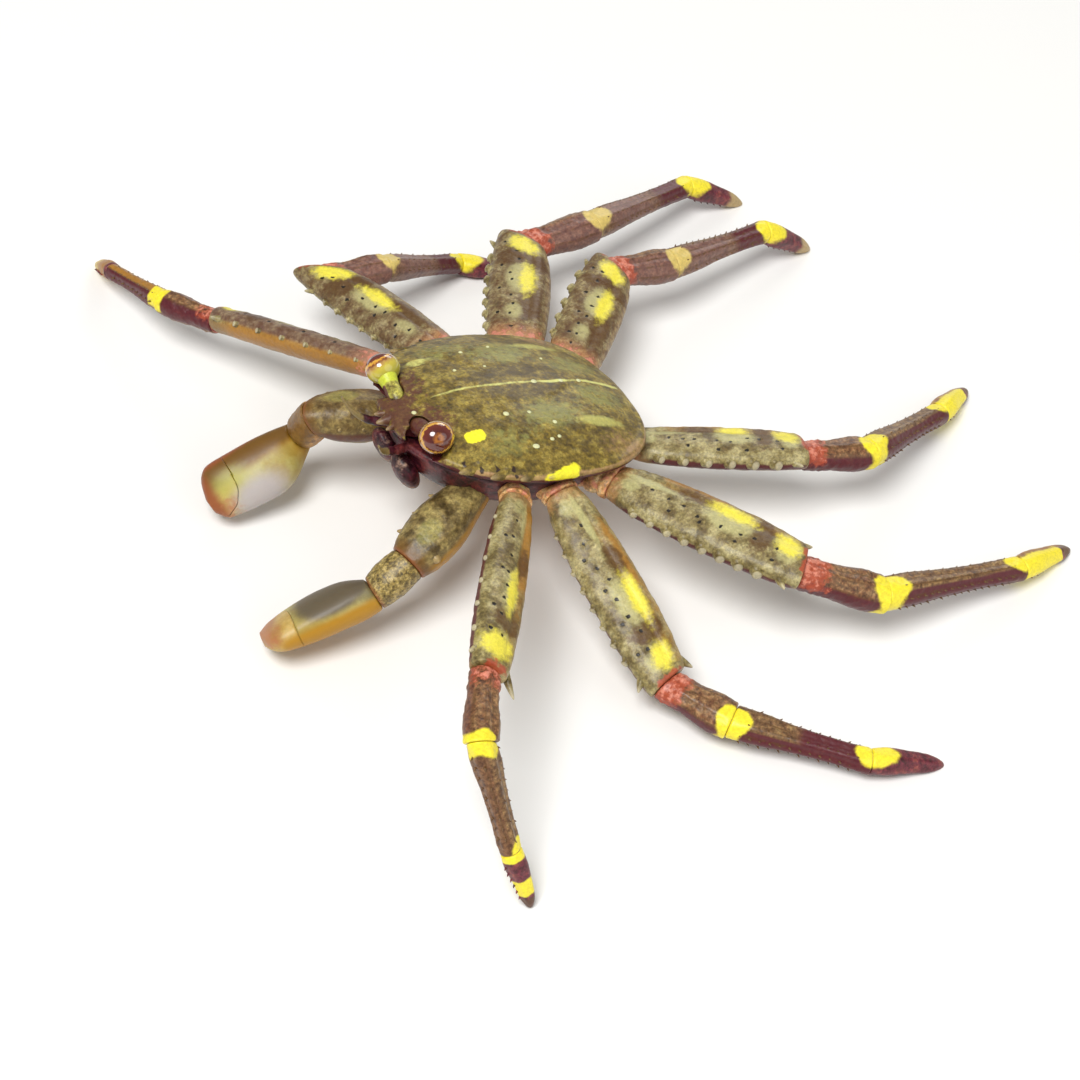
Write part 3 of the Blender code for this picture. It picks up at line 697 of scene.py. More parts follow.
# Palm: smooth and porcelain-like, with broad soft clouds of pigment under a glossy surface.
PALM_SHELL = Cuticle(
    "polished_palm_shell", ("#a48c40", "#ae9e56", "#b8ac6c"), CLAW_MARKS,
    mottle_mm=3.5, grain_depth=0.06, relief_mm=0.006, **POLISH,
)
# Moving finger, as smooth as the palm and a little warmer.
FINGER_SHELL = Cuticle(
    "polished_finger_shell", ("#b08a40", "#bb9a50", "#c6aa66"), CLAW_MARKS,
    mottle_mm=3.0, grain_depth=0.08, relief_mm=0.008, **POLISH,
)
# Joint skin: soft leathery membrane between the plates, red with pale granules.
JOINT_SKIN = Cuticle(
    "red_joint_skin", ("#6d1f18", "#a8432e", "#c77450"), (Marking("yellow", "#c9b044"),),
    mottle_mm=0.7, granule_mm=0.35, relief_mm=0.12, roughness=0.5, glow=0.2,
)
# Eyestalk shell, thin and nearly smooth, maroon below and yellow round its end.
EYE_STALK = Cuticle(
    "striped_eyestalk_shell", ("#5a4a20", "#8d8236", "#b0a94c"),
    (Marking("maroon", MAROON, 0.3, 0.9), Marking("yellow", "#c9d23a", 0.4, 0.9)),
    mottle_mm=0.9, grain_mm=0.25, relief_mm=0.03,
)


@dataclass(frozen=True)
class Cornea:
    """Compound eye: a clear glossy cornea over banded pigment, wine red inside a gold ring."""

    name: str = "glossy_cornea"
    cloud_mm: float = 0.3
    facet_mm: float = 0.09
    rings: tuple[tuple[float, str], ...] = (
        (0.0, "#4a1410"), (0.06, "#5e2412"), (0.12, "#a8641e"), (0.2, "#4e1610"),
        (0.37, "#6a2414"), (0.39, "#e0ac40"), (0.43, "#c98a2c"), (0.45, "#6a2a1c"),
        (0.5, "#b48a4a"), (0.58, "#c6b53e"), (1.0, "#8f9a3a"),
    )

    def material(self) -> bpy.types.Material:
        """The finish as a material.

        Returns:
            The material.
        """
        made, tree, shader = fresh_tree(self.name)
        ring = add_node(tree, "Attribute", attribute_name="pole").outputs["Fac"]
        where = add_node(tree, "TexCoord").outputs["Object"]
        inputs = {"Vector": where, "Scale": 1 / (self.cloud_mm * MM), "Detail": 3.0}
        cells = add_node(tree, "TexNoise", inputs)
        terms = {0: cells.outputs["Fac"], 1: 0.12, 2: ring}
        bent = add_node(tree, "Math", terms, operation="MULTIPLY_ADD").outputs[0]
        ramp = add_node(tree, "ValToRGB", {"Fac": bent})
        set_stops(ramp, self.rings)
        facets = add_node(tree, "TexVoronoi", {"Vector": where, "Scale": 1 / (self.facet_mm * MM)})
        terms = {"Height": facets.outputs["Distance"], "Distance": 0.006 * MM, "Strength": 0.5}
        bump = add_node(tree, "Bump", terms)
        feed(tree, shader, {
            "Base Color": ramp.outputs["Color"],
            "Normal": bump.outputs[0],
            "Roughness": 0.16,
            "Coat Weight": 1.0,
            "Coat Roughness": 0.03,
        })
        return made


@dataclass(frozen=True)
class StudioFloor:
    """Pale matt card, slightly uneven in tone."""

    name: str = "pale_matt_card"

    def material(self) -> bpy.types.Material:
        """The finish as a material.

        Returns:
            The material.
        """
        made, tree, shader = fresh_tree(self.name)
        where = add_node(tree, "TexCoord").outputs["Object"]
        cloud = add_node(tree, "TexNoise", {"Vector": where, "Scale": 6.0, "Detail": 2.0})
        ramp = add_node(tree, "ValToRGB", {"Fac": cloud.outputs["Fac"]})
        set_stops(ramp, ((0.0, "#f0efec"), (1.0, "#f5f4f1")))
        feed(tree, shader, {"Base Color": ramp.outputs["Color"], "Roughness": 0.85})
        return made


MATERIALS: dict[str, bpy.types.Material] = {}


def dress(surface: Surface, name: str, finish: Cuticle | Cornea, node: str = "") -> None:
    """Turn a surface into a finished piece of the one still body.

    Args:
        surface: The piece's skins and masks.
        name: The piece's name.
        finish: What it is made of.
        node: The CAD node that it replaces, if any.
    """
    mesh = surface.mesh(name)
    for mask, values in surface.masks.items():
        store = mesh.attributes.new(mask, "FLOAT", "POINT")
        store.data.foreach_set("value", np.clip(values, 0, 1).astype(np.float32))
    if finish.name not in MATERIALS:
        MATERIALS[finish.name] = finish.material()
    mesh.materials.append(MATERIALS[finish.name])
    piece = bpy.data.objects.new(name, mesh)
    bpy.context.scene.collection.objects.link(piece)
    if node:
        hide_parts(node)
    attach(piece, "root")
    LOG.info("%s: %d faces for %s", name, len(mesh.polygons), node or "no node")


# Radius of the rounding at a segment's ends, and the share of its length that an end's lean takes up.
ROUNDING = 0.22 * MM
LEAN = 0.4


@dataclass
class Segment:
    """One shell segment of a limb, lofted between two cut planes."""

    start: Vector
    end: Vector
    planes: tuple[Vector | None, Vector | None]
    axes: tuple[Vector, Vector]
    width: float
    depth: float
    shape: Curve
    fill: float = 1.0
    bow: float = 0.0
    roundness: float = 2.2
    lip: float = 0.0
    sag: float = 0.0
    spacing: float = 0.2 * MM
    sides: int = 56

    @property
    def axis(self) -> Vector:
        """Unit vector from start to end."""
        return (self.end - self.start).normalized()

    @property
    def length(self) -> float:
        """Distance from joint to joint."""
        return (self.end - self.start).length

    @property
    def turn(self) -> Matrix:
        """The turn of a cushion that lies in the segment's cross section."""
        return Matrix((*self.axes, self.axes[0].cross(self.axes[1]))).transposed().to_4x4()

    def half_sizes(self, t: Array | float) -> tuple[Array, Array]:
        """Half width and half depth at shares of the length."""
        share = curve(self.shape, t)
        return self.width / 2 * share, self.depth / 2 * share**self.fill

    def half_at(self, t: float) -> tuple[float, float]:
        """Half width and half depth at one share of the length."""
        return tuple(float(half) for half in self.half_sizes(t))

    def spot(self, t: float, u: float, v: float) -> tuple[Vector, Vector]:
        """A place on the skin and the outward direction there.

        Args:
            t: Share of the length.
            u: Share across, from -1 to 1.
            v: Share through, from -1 to 1. The pair is carried out to the skin.

        Returns:
            The place and the unit vector out of the skin.
        """
        half_width, half_depth = self.half_at(t)
        reach = (abs(u) ** self.roundness + abs(v) ** self.roundness) ** (1 / self.roundness)
        across, through = self.axes
        u, v = u / reach, v / reach
        out = across * (u / half_width) + through * (v / half_depth)
        place = self.start + (self.end - self.start) * t
        return place + across * (u * half_width) + through * (v * half_depth), out.normalized()

    def cushion(self, at: Vector, radii: Vector) -> Surface:
        """A cushion of soft joint skin that lies across the segment."""
        return ellipsoid(at, radii, self.turn, 14, 28)

    def surface(self) -> Surface:
        """The segment's plain skin, with rounded ends.

        Returns:
            The closed surface, ready to swell.
        """
        edge = ROUNDING
        body = max(8, int(self.length / self.spacing))
        ends = edge / self.length * np.array([0.0, 0.12, 0.3, 0.6, 1.0])
        t = np.unique(np.concatenate((ends, 1 - ends, np.linspace(ends[-1], 1 - ends[-1], body))))
        near = np.minimum(t, 1 - t) * self.length
        curl = 1 - np.sqrt(np.maximum(0.0, 1 - np.clip(1 - near / edge, 0, 1) ** 2))
        half_width, half_depth = (half - edge * 0.9 * curl for half in self.half_sizes(t))
        if self.lip:
            swell = self.lip * np.exp(-(((t - 0.965) * self.length / (0.35 * MM)) ** 2))
            half_width, half_depth = half_width + swell, half_depth + swell
        u, v = oval(self.sides, self.roundness)
        across, through, axis = (np.array(a) for a in (*self.axes, self.axis))
        droop = self.sag * (1 - t * t)
        wide, deep = half_width[:, None] * u, half_depth[:, None] * v - droop[:, None]
        offset = plot(wide, deep, across, through)
        shift = np.repeat((t * self.length)[:, None], self.sides, 1)
        leans = (np.maximum(0, 1 - t / LEAN), np.maximum(0, 1 - (1 - t) / LEAN))
        for lean, plane, sign in zip(leans, self.planes, (1, -1)):
            if plane is not None:
                normal = np.array(plane)
                shift += lean[:, None] * (sign * SEAM / 2 - offset @ normal) / (axis @ normal)
        rings = np.array(self.start) + shift[..., None] * axis + offset
        rings += (self.bow * np.sin(math.pi * t))[:, None, None] * through
        out = plot(u / half_width[:, None], v / half_depth[:, None], across, through)
        out *= smoothstep(0, 0.8 * MM, near)[:, None, None] / np.linalg.norm(out, axis=2, keepdims=True)
        made = Surface.loft(rings, spread(t, u, v))
        made.out = np.vstack((out.reshape(-1, 3), np.zeros((2, 3))))
        return made


# How the body is carried, as in the part's source.
BODY_PITCH, BODY_ROLL = math.radians(13), math.radians(-4)
BODY_PLACE = Vector((-13.82, -2.171, 15.0)) * MM
BODY_TURN = Matrix.Rotation(BODY_ROLL, 4, "X") @ Matrix.Rotation(BODY_PITCH, 4, "Y")
BODY = Matrix.Translation(BODY_PLACE) @ BODY_TURN


def to_world(points: Array) -> Array:
    """Carry points from the body's frame to the world."""
    return points @ np.array(BODY.to_3x3()).T + np.array(BODY.translation)


# Small raised warts of the back, each painted pale all over as a glint, as x, y and radius in mm in the
# body's frame.
WARTS = (
    (-3.7, -5.0, 0.36), (-1.1, -5.4, 0.26), (1.1, -7.3, 0.28), (-0.2, -9.3, 0.26),
    (0.8, -9.1, 0.24), (-2.4, -9.8, 0.4), (-12.6, -1.2, 0.3), (2.2, -0.5, 0.34),
    (5.5, -0.8, 0.3), (8.0, -0.65, 0.3), (-5.6, 3.4, 0.22), (-2.0, 3.2, 0.2),
    (-3.0, 6.8, 0.26), (0.6, 7.1, 0.22), (5.8, 4.0, 0.2),
)


@dataclass
class Carapace:
    """The back: a flat toothed disc, a little longer than wide, with an eye notch at each front corner."""

    length: float = 30.0 * MM
    width: float = 26.5 * MM
    dome: float = 2.7 * MM
    edge: float = 0.55 * MM
    floor: float = 1.1 * MM
    rings: int = 64
    sides: int = 224
    side_teeth: Curve = ((130.5, 1.9), (118, 1.7), (106, 1.5), (94, 1.2))
    brow_teeth: tuple[tuple[float, float, float], ...] = ((0, 1.5, 0.7), (-1.15, 1.1, 0.5), (1.15, 1.1, 0.5))
    # Bearings in degrees of the dark marks painted at the margin as shade in the gaps between the side teeth.
    gap_shades: tuple[float, ...] = (134.0, 127.0, 120.0, 113.0)
    stripe: Curve = (
        (-11, 0), (-6.6, -0.15), (-2.5, -0.55), (1.3, -0.45), (5, -0.8), (9.7, -0.55), (15, -0.5),
    )

    def outline(self, angle: Array) -> Array:
        """Edge of the shell seen from above, at an angle from the tail end.

        Args:
            angle: Angles round the shell, from 0 at the tail end.

        Returns:
            Places of the edge seen from above, in metres.
        """
        angle = np.asarray(angle, float)
        power = np.where(np.cos(angle) < 0, 2.25, 2.7)
        c, s = np.abs(np.cos(angle)), np.abs(np.sin(angle))
        reach = (c**power + s**power) ** (-1 / power)
        return np.stack((reach * np.cos(angle) * self.length / 2, reach * np.sin(angle) * self.width / 2), -1)

    def height(self, xy: Array) -> Array:
        """Height of the back over its rim plane, with its swollen regions and grooves.

        Args:
            xy: Places seen from above in the body's frame, in metres.

        Returns:
            The height at each place, in metres.
        """
        u, v = xy[..., 0] / (self.length / 2), xy[..., 1] / (self.width / 2)
        rim = np.minimum(1.0, np.hypot(u, v))
        rise = self.dome * (1 - rim**2.6)
        middle = 0.35 * np.exp(-((u + 0.25) ** 2) / 0.12 - v**2 / 0.06)
        heart = 0.3 * np.exp(-((u - 0.45) ** 2) / 0.05 - v**2 / 0.05)
        gills = 0.3 * np.exp(-((u - 0.2) ** 2) / 0.2 - (np.abs(v) - 0.55) ** 2 / 0.04)
        neck = -0.16 * np.exp(-((u + 0.12 + 0.5 * np.abs(v)) ** 2) / 0.003 - (np.abs(v) - 0.45) ** 2 / 0.06)
        wave = np.abs(v) - 0.2 - 0.12 * np.cos(5 * u)
        bars = -0.14 * np.exp(-(wave**2) / 0.0025 - (u - 0.25) ** 2 / 0.09)
        return rise + MM * (middle + heart + gills + neck + bars) * (1 - rim**4)

    def disc(self) -> Surface:
        """The plain disc with its rounded rim, before the eye notches.

        Returns:
            The closed disc in the body's frame.
        """
        shares = np.concatenate((np.linspace(0.02, 0.9, self.rings), (0.93, 0.955, 0.975, 0.99, 1.0)))
        angle = 2 * math.pi * np.arange(self.sides) / self.sides
        rim = self.outline(angle)
        rows = []
        for share in shares:
            xy = rim * share
            fall = max(0.0, (share - 0.955) / 0.045)
            z = self.edge * np.sqrt(np.maximum(0.0, 1 - fall**2)) + self.height(xy)
            place = np.c_[xy, z]
            rough = grain(place, 1.6) * 0.05 * MM + grain(place, 0.55, 7.0) * 0.03 * MM
            rows.append(np.c_[xy, z + rough])
        for share in (0.985, 0.96, 0.85, 0.6, 0.3, 0.02):
            xy = rim * share
            z = np.full(len(xy), -self.floor + 0.6 * MM * max(0.0, share - 0.8) / 0.2)
            rows.append(np.c_[xy, z])
        return Surface.loft(np.array(rows))

    def teeth(self) -> list[Surface]:
        """Flat spines of the front edge: four along each side and three on the brow.

        Returns:
            The spines in the body's frame.
        """
        made = []
        for side in Side:
            for k, (degrees, length) in enumerate(self.side_teeth):
                x, y = self.outline(math.radians(degrees) * side.value)
                outward = Vector((x, y, 0)).normalized()
                lean = (Vector((-1, 0, 0)) * (0.95 - 0.1 * k) + outward * 0.45).normalized()
                root = Vector((x, y, 0)) - outward * 0.75 * MM + Vector((0, 0, 0.05 * MM))
                hook = Vector((-0.25, 0, 0.1)) * MM
                made.append(spike(root, lean, 0.75 * MM, length * MM, 0.8 * MM, hook))
        for y, reach, width in self.brow_teeth:
            root = Vector((-self.length / 2 + 0.3 * MM, y * MM, 0.0))
            made.append(spike(root, Vector((-1, 0.25 * y, -0.15)), width * MM, reach * MM, 0.9 * MM))
        return made

    def warts(self) -> list[Surface]:
        """Small warts that stand a little out of the back, each painted pale all over as a glint.

        Returns:
            The warts in the body's frame.
        """
        made = []
        for x, y, radius in WARTS:
            at = np.array((x, y)) * MM
            place = Vector((*at, self.edge + float(self.height(at)) - 0.05 * MM))
            wart = ellipsoid(place, Vector((radius, radius, 0.16)) * MM, Matrix.Identity(4), 10, 18)
            # The pale colour of each wart is a painted glint.
            wart.masks["dot"] = np.ones(len(wart.points))
            made.append(wart)
        return made

    def markings(self, body: Array) -> dict[str, Array]:
        """Colour masks of the back from places in the body's frame, in metres.

        Args:
            body: Places of the points in the body's frame, in metres.

        Returns:
            The masks by name.
        """
        x, y, z = body.T / MM
        beside = np.abs(y)
        bearing = np.arctan2(y / self.width, x / self.length)
        rim = np.hypot(x, y) / np.linalg.norm(self.outline(bearing) / MM, axis=1)
        top = smoothstep(-0.2, 0.35, z)
        line = band(y - curve(self.stripe, x), -0.22, 0.22, 0.25) * band(x, -10.5, 14.2, 1.0)
        strong = 0.6 + 0.4 * np.maximum(band(x, 3.5, 6.0, 0.8), band(x, 9.0, 14.0, 0.8))
        reach = (np.abs((x + 8.3) / 1.1) ** 3 + np.abs((beside - 6.9) / 0.74) ** 3) ** (1 / 3)
        patch = smoothstep(1.2, 0.85, reach)
        low = np.where(y < 0, 1.0, smoothstep(0.45, 0.1, z))
        wedge = 0.985 - 0.055 * smoothstep(-2.4, 1.2, x)
        flank = band(x, -2.6, 1.6, 0.6) * smoothstep(-0.012, 0.012, rim - wedge)
        # Dark marks at the margin between the side teeth: painted shade of the gaps.
        gap_shades = np.zeros_like(x)
        for degrees in self.gap_shades:
            sx, sy = self.outline(math.radians(degrees)) / MM
            gap_shades = np.maximum(gap_shades, blob(x, beside, (sx * 0.985, sy * 0.97), (0.16, 0.75), 0.3))
        fringe = np.maximum(
            0.8 * band(rim, 0.985, 1.05, 0.006), 0.55 * blob(x, beside, (9.8, 10.4), (3.2, 1.8), 0.9)
        )
        snout = np.maximum(smoothstep(-10.8, -13.4, x), blob(x, beside, (-11.5, 3.8), (1.6, 2.6), 0.8))
        shade = 0.75 * band(x, -5.0, 6.0, 2.0) * band(beside, 0.8, 3.2, 0.8)
        shade += 0.3 * band(rim, 0.75, 0.9, 0.06) + 0.5 * blob(x, beside, (4.5, 9.0), (4.0, 1.6), 0.5)
        moss = 0.8 * blob(x, beside, (1.6, 5.8), (3.6, 2.2), 0.7)
        moss += 0.7 * blob(x, beside, (9.5, 3.0), (3.5, 2.0), 0.7)
        moss += 0.5 * blob(x, beside, (-5.0, 8.5), (3.0, 2.0), 0.7)
        pale = 0.85 * blob(x, beside, (7.0, 7.2), (3.2, 0.75), 0.5) * top
        pale += 0.4 * blob(x, beside, (-8.0, 6.9), (2.6, 0.5), 0.4) * (y > 0)
        return {
            "shade": shade,
            "moss": moss,
            "mauve": snout * top,
            "rim": fringe * smoothstep(-0.2, 0.1, z) * smoothstep(-11.5, -10.0, x),
            "maroon": 1 - smoothstep(-0.25, 0.15, z),
            "pale": pale,
            "line": np.maximum(line * strong, 0.5 * patch * (y > 0)) * top,
            "yellow": np.maximum(patch * (y < 0), flank * low) * smoothstep(-0.3, 0.0, z),
            "slit": gap_shades * top,
        }

    def build(self, face: "Face") -> None:
        """Make the back, cut its eye notches and dress it.

        Args:
            face: The face that the notches are for.
        """
        disc = self.disc().carve([cutter for side in Side for cutter in face.notch(side)])
        disc.masks = self.markings(disc.points)
        teeth = Surface.join(self.teeth())
        teeth.masks["shade"] = 0.5 * (1 - teeth.masks["tip"])
        teeth.masks["mauve"] = 0.9 * smoothstep(-12.5, -14.0, teeth.points[:, 0] / MM)
        teeth.masks["yellow"] = smoothstep(-4.0, -3.4, teeth.points[:, 0] / MM) * (teeth.points[:, 1] < 0)
        whole = Surface.join([disc, teeth, *self.warts()])
        whole.points = to_world(whole.points)
        dress(whole, "back_shell", BACK_SHELL, "carapace")


@dataclass
class UnderBody:
    """The bowl under the back, with the plates of the breast, and the tail flap folded beneath."""

    top: float = -1.45 * MM
    depth: float = 5.3 * MM
    rim: tuple[float, float] = (13.9 * MM, 11.7 * MM)
    sole: tuple[float, float] = (9.0 * MM, 6.4 * MM)

    def bowl(self) -> Surface:
        """The bowl, with a groove between the breast plates of each leg.

        Returns:
            The closed bowl in the world.
        """
        sides = 160
        angle = 2 * math.pi * np.arange(sides) / sides
        rim = np.stack((np.cos(angle) * self.rim[0], np.sin(angle) * self.rim[1]), 1)
        sole = self.sole[1] / self.rim[1]
        rows = []
        for share in (0.05, 0.4, 0.8, 0.96, 0.99):
            rows.append(np.c_[rim * share, np.full(sides, self.top)])
        wall, bottom = np.linspace(0.96, sole, 16), np.linspace(sole - 0.03, 0.02, 18)
        for share in (1.0, 0.995, 0.98, *wall, *bottom):
            deep = 1 - max(0.0, (share - sole) / (1 - sole)) ** 3
            xy = rim * share
            z = self.top - 0.5 * MM - (self.depth - 0.5 * MM) * deep
            plates = np.cos((xy[:, 0] / MM - 1.0) * 2 * math.pi / 4.6)
            groove = -smoothstep(0.75, 1.0, plates) * 0.35 * MM * smoothstep(0.0, 0.3, deep)
            groove = groove * (1 - share * 0.3)
            rows.append(np.c_[xy * (1 + groove / (8 * MM))[:, None], z - groove * 0.8])
        made = Surface.loft(np.array(rows))
        x, y, z = made.points.T / MM
        made.masks["amber"] = 0.8 * smoothstep(-4.4, -5.6, z) * smoothstep(-6, 4, x)
        made.masks["pale"] = 0.7 * smoothstep(-5.6, -6.6, z) * band(np.abs(y), 2.0, 7.0, 1.0)
        made.points = to_world(made.points)
        return made

    def flap(self) -> Surface:
        """The tail flap, a broad tongue in seven rings.

        Returns:
            The closed flap in the world.
        """
        path = np.array(((13.6, -1.9), (13.4, -4.0), (11.6, -6.1), (7.0, -7.15), (2.0, -7.3), (-2.5, -7.15)))
        halves = np.array((2.6, 2.8, 2.8, 2.7, 2.2, 0.9))
        knots = np.concatenate(([0], np.cumsum(np.linalg.norm(np.diff(path, axis=0), axis=1))))
        knots /= knots[-1]
        t = np.linspace(0, 1, 70)
        x = curve(tuple(zip(knots, path[:, 0])), t)
        z = curve(tuple(zip(knots, path[:, 1])), t)
        half = curve(tuple(zip(knots, halves)), t)
        tangent = np.stack((np.gradient(x), np.gradient(z)), 1)
        tangent /= np.linalg.norm(tangent, axis=1, keepdims=True)
        seam = np.exp(-((((t * 7) % 1) - 0.5) ** 2) / 0.006)
        u, v = oval(40, 2.6)
        rings = np.zeros((len(t), 40, 3))
        deep = (0.55 - 0.1 * seam)[:, None]
        width = (half - 0.12 * seam)[:, None]
        rings[:, :, 0] = x[:, None] + tangent[:, 1:2] * v * deep * -1
        rings[:, :, 2] = z[:, None] + tangent[:, 0:1] * v * deep
        rings[:, :, 1] = u * width
        made = Surface.loft(rings * MM)
        made.masks["amber"] = 0.75 * np.ones(len(made.points))
        made.points = to_world(made.points)
        return made

    def build(self) -> None:
        """Make and dress the under body."""
        dress(self.bowl(), "breast_shell", UNDER_SHELL, "thorax")
        dress(self.flap(), "tail_flap_shell", UNDER_SHELL, "tail_flap")


@dataclass
class Face:
    """Eyes on short stalks in their notches, feelers and the plates that close the mouth."""

    eye: Vector = field(default_factory=lambda: Vector((-12.7, 6.4, 2.0)) * MM)
    eye_radii: Vector = field(default_factory=lambda: Vector((1.95, 1.75, 1.65)) * MM)
    stalk_root: Vector = field(default_factory=lambda: Vector((-12.6, 2.0, 0.5)) * MM)
    stalk_radius: float = 1.0 * MM
    orbit_radius: float = 2.25 * MM
    slack: float = 0.2 * MM
    look: Vector = field(default_factory=lambda: Vector((-0.35, 0.78, 0.5)))

    def axes(self, side: Side) -> tuple[Vector, Vector, Vector]:
        """Middle of an eye, root of its stalk, and the unit vector out along the stalk."""
        eye, root = self.eye * side.mirror, self.stalk_root * side.mirror
        return eye, root, (eye - root).normalized()

    def ball(self, side: Side, grow: float = 0.0) -> Surface:
        """An eye in the body's frame, or a grown copy of it.

        Args:
            side: Which side of the crab.
            grow: How far the skin lies outside the real one, for a cutter.

        Returns:
            The closed eye, with its mask.
        """
        eye, _, axis = self.axes(side)
        turn = axis.to_track_quat("Z", "Y").to_matrix().to_4x4()
        made = ellipsoid(eye, self.eye_radii + Vector((grow, grow, grow)), turn, 36, 56)
        way = made.points - np.array(eye)
        way = way / np.linalg.norm(way, axis=1, keepdims=True)
        look = np.array((self.look * side.mirror).normalized())
        made.masks["pole"] = np.arccos(np.clip(way @ look, -1, 1)) / math.pi
        return made

    def stalk(self, side: Side, grow: float = 0.0) -> Surface:
        """An eyestalk in the body's frame, or a grown copy of it.

        Args:
            side: Which side of the crab.
            grow: How far the skin lies outside the real one, for a cutter.

        Returns:
            The closed stalk, with its masks.
        """
        eye, root, axis = self.axes(side)
        end = eye - axis * (self.eye_radii.z - 0.55 * MM)
        t = np.linspace(0, 1, 22)
        radius = curve(((0, 0.75), (0.25, 0.95), (0.6, 0.9), (1, 1.15)), t) * self.stalk_radius + grow
        made = tube(root - axis * grow, end, axis, t, radius)
        s, _, v = made.place.T
        made.masks["yellow"] = smoothstep(0.55, 0.8, s) * float(not side.left)
        made.masks["maroon"] = np.maximum(smoothstep(0.5, 0.0, v), 0.9 * float(side.left))
        return made

    def notch(self, side: Side) -> list[Surface]:
        """Cutters for the notch that an eye and its stalk lie in.

        Args:
            side: Which side of the crab.

        Returns:
            The cutters in the body's frame.
        """
        inner = Vector((self.stalk_root.x - 0.4 * MM, side.value * (self.stalk_root.y + 1.7 * MM), 0))
        outer = Vector((self.eye.x - 0.5 * MM, side.value * self.eye.y, self.eye.z - 0.3 * MM))
        axis = (outer - inner).normalized()
        t = np.linspace(0, 1, 20)
        swell = ((0, 0.45), (0.08, 0.75), (0.3, 0.9), (0.7, 1.0), (0.88, 0.92), (1, 0.5))
        radius = self.orbit_radius * curve(swell, t) * (0.8 + 0.2 * smoothstep(0.35, 0.6, t))
        hollow = tube(inner - axis * 1.75 * MM, outer + axis * 2.2 * MM, axis, t, radius)
        return [hollow, self.ball(side, self.slack), self.stalk(side, self.slack)]

    def feeler(self, side: Side) -> Surface:
        """An antenna: three stout joints and a whip, all short.

        Args:
            side: Which side of the crab.

        Returns:
            The feeler in the body's frame, with its mask.
        """
        path = np.array(((-13.2, 2.3, -2.1), (-15.4, 2.9, -1.9), (-17.0, 3.6, -1.2), (-18.2, 4.5, 0.2)))
        path[:, 1] *= side.value
        t = np.linspace(0, 1, 48)
        knots = (0, 0.36, 0.66, 1)
        middle = np.stack([curve(tuple(zip(knots, path[:, k])), t) for k in range(3)], 1)
        size = curve(tuple(zip(knots, (0.62, 0.5, 0.36, 0.22))), t)
        ring_step = np.where(t < 0.4, 0.2, 0.06)
        size = size * (1 - 0.14 * np.abs(np.sin(math.pi * t / ring_step)) ** 6)
        u, v = oval(16)
        rings = middle[:, None] + np.stack((np.zeros((48, 16)), size[:, None] * u, size[:, None] * v), 2)
        made = Surface.loft(rings * MM, spread(t, u, v))
        made.masks["tip"] = smoothstep(0.3, 0.7, made.place[:, 0])
        return made

    def mouth_plate(self, side: Side) -> Surface:
        """The outer mouth limb: a domed plate with a groove down it.

        Args:
            side: Which side of the crab.

        Returns:
            The plate in the body's frame, with its masks.
        """
        turn = Matrix.Rotation(math.radians(-35), 4, "Y")
        centre = Vector((-12.7, side.value * 2.3, -5.25)) * MM
        plate = ellipsoid(centre, Vector((1.2, 1.95, 2.5)) * MM, turn, 30, 40)
        place = plate.place
        middle_line = np.exp(-((place[:, 2] * side.value - 0.1) ** 2) / 0.01)
        groove = middle_line * smoothstep(0, 0.5, np.abs(place[:, 1]))
        middle = np.array(centre)
        plate.points = middle + (plate.points - middle) * (1 - 0.1 * groove)[:, None]
        plate.masks["pale"] = 0.35 * smoothstep(-0.2, 0.8, place[:, 0])
        plate.masks["amber"] = 0.4 * smoothstep(0.5, -0.5, place[:, 0])
        return plate

    def build(self) -> None:
        """Make and dress the face."""
        for side in Side:
            for made, name, finish, slot, node in (
                (self.ball(side), "cornea", Cornea(), "eye", "eye"),
                (self.stalk(side), "eyestalk_shell", EYE_STALK, "underside", "eyestalk"),
                (self.feeler(side), "feeler", UNDER_SHELL, "underside", "antenna"),
                (self.mouth_plate(side), "mouth_plate", UNDER_SHELL, "joint", "maxilliped"),
            ):
                made.points = to_world(made.points)
                dress(made, f"{name}_{side.word}", finish, f"{node}_{side.word}")


@dataclass(frozen=True)
class LegSizes:
    """Sizes of one pair of legs, in mm and degrees.

    root is where the leg leaves the body and hip where its base starts inside. The fours are for
    merus, carpus, propodus and dactylus. lift tips the plates' front border up. corners are the
    lengths of the two spines at the merus' end.
    """

    root: tuple[float, float, float]
    hip: tuple[float, float, float]
    lengths: tuple[float, ...]
    widths: tuple[float, ...]
    flatness: tuple[float, ...]
    lift: float
    pegs: int
    peg_size: float
    sag: float
    corners: tuple[float, float]


PAIRS = {
    2: LegSizes(
        (-6.6, 12.4, -3.2), (-3.4, 8.4, -3.2), (25.7, 8.2, 11.3, 7.0), (5.4, 3.9, 3.1, 2.5),
        (0.64, 0.85, 0.85, 0.9), 42, 6, 0.6, 0.45, (1.2, 3.0),
    ),
    3: LegSizes(
        (0.7, 12.4, -3.1), (0.4, 6.0, -3.1), (23.2, 7.7, 14.7, 8.7), (6.3, 4.5, 3.7, 2.9),
        (0.52, 0.8, 0.82, 0.9), -8, 8, 0.8, 0.55, (1.6, 1.5),
    ),
    4: LegSizes(
        (8.1, 11.6, -3.0), (4.2, 5.4, -3.0), (22.5, 10.1, 19.7, 9.7), (7.6, 4.9, 3.9, 3.0),
        (0.48, 0.8, 0.85, 0.9), 3, 8, 1.0, 0.6, (1.7, 1.3),
    ),
    5: LegSizes(
        (12.7, 7.5, -3.0), (7.4, 5.0, -3.2), (19.5, 8.6, 17.5, 9.3), (7.1, 4.6, 3.9, 3.1),
        (0.48, 0.8, 0.85, 0.9), 16, 6, 1.0, 0.5, (1.3, 1.1),
    ),
}
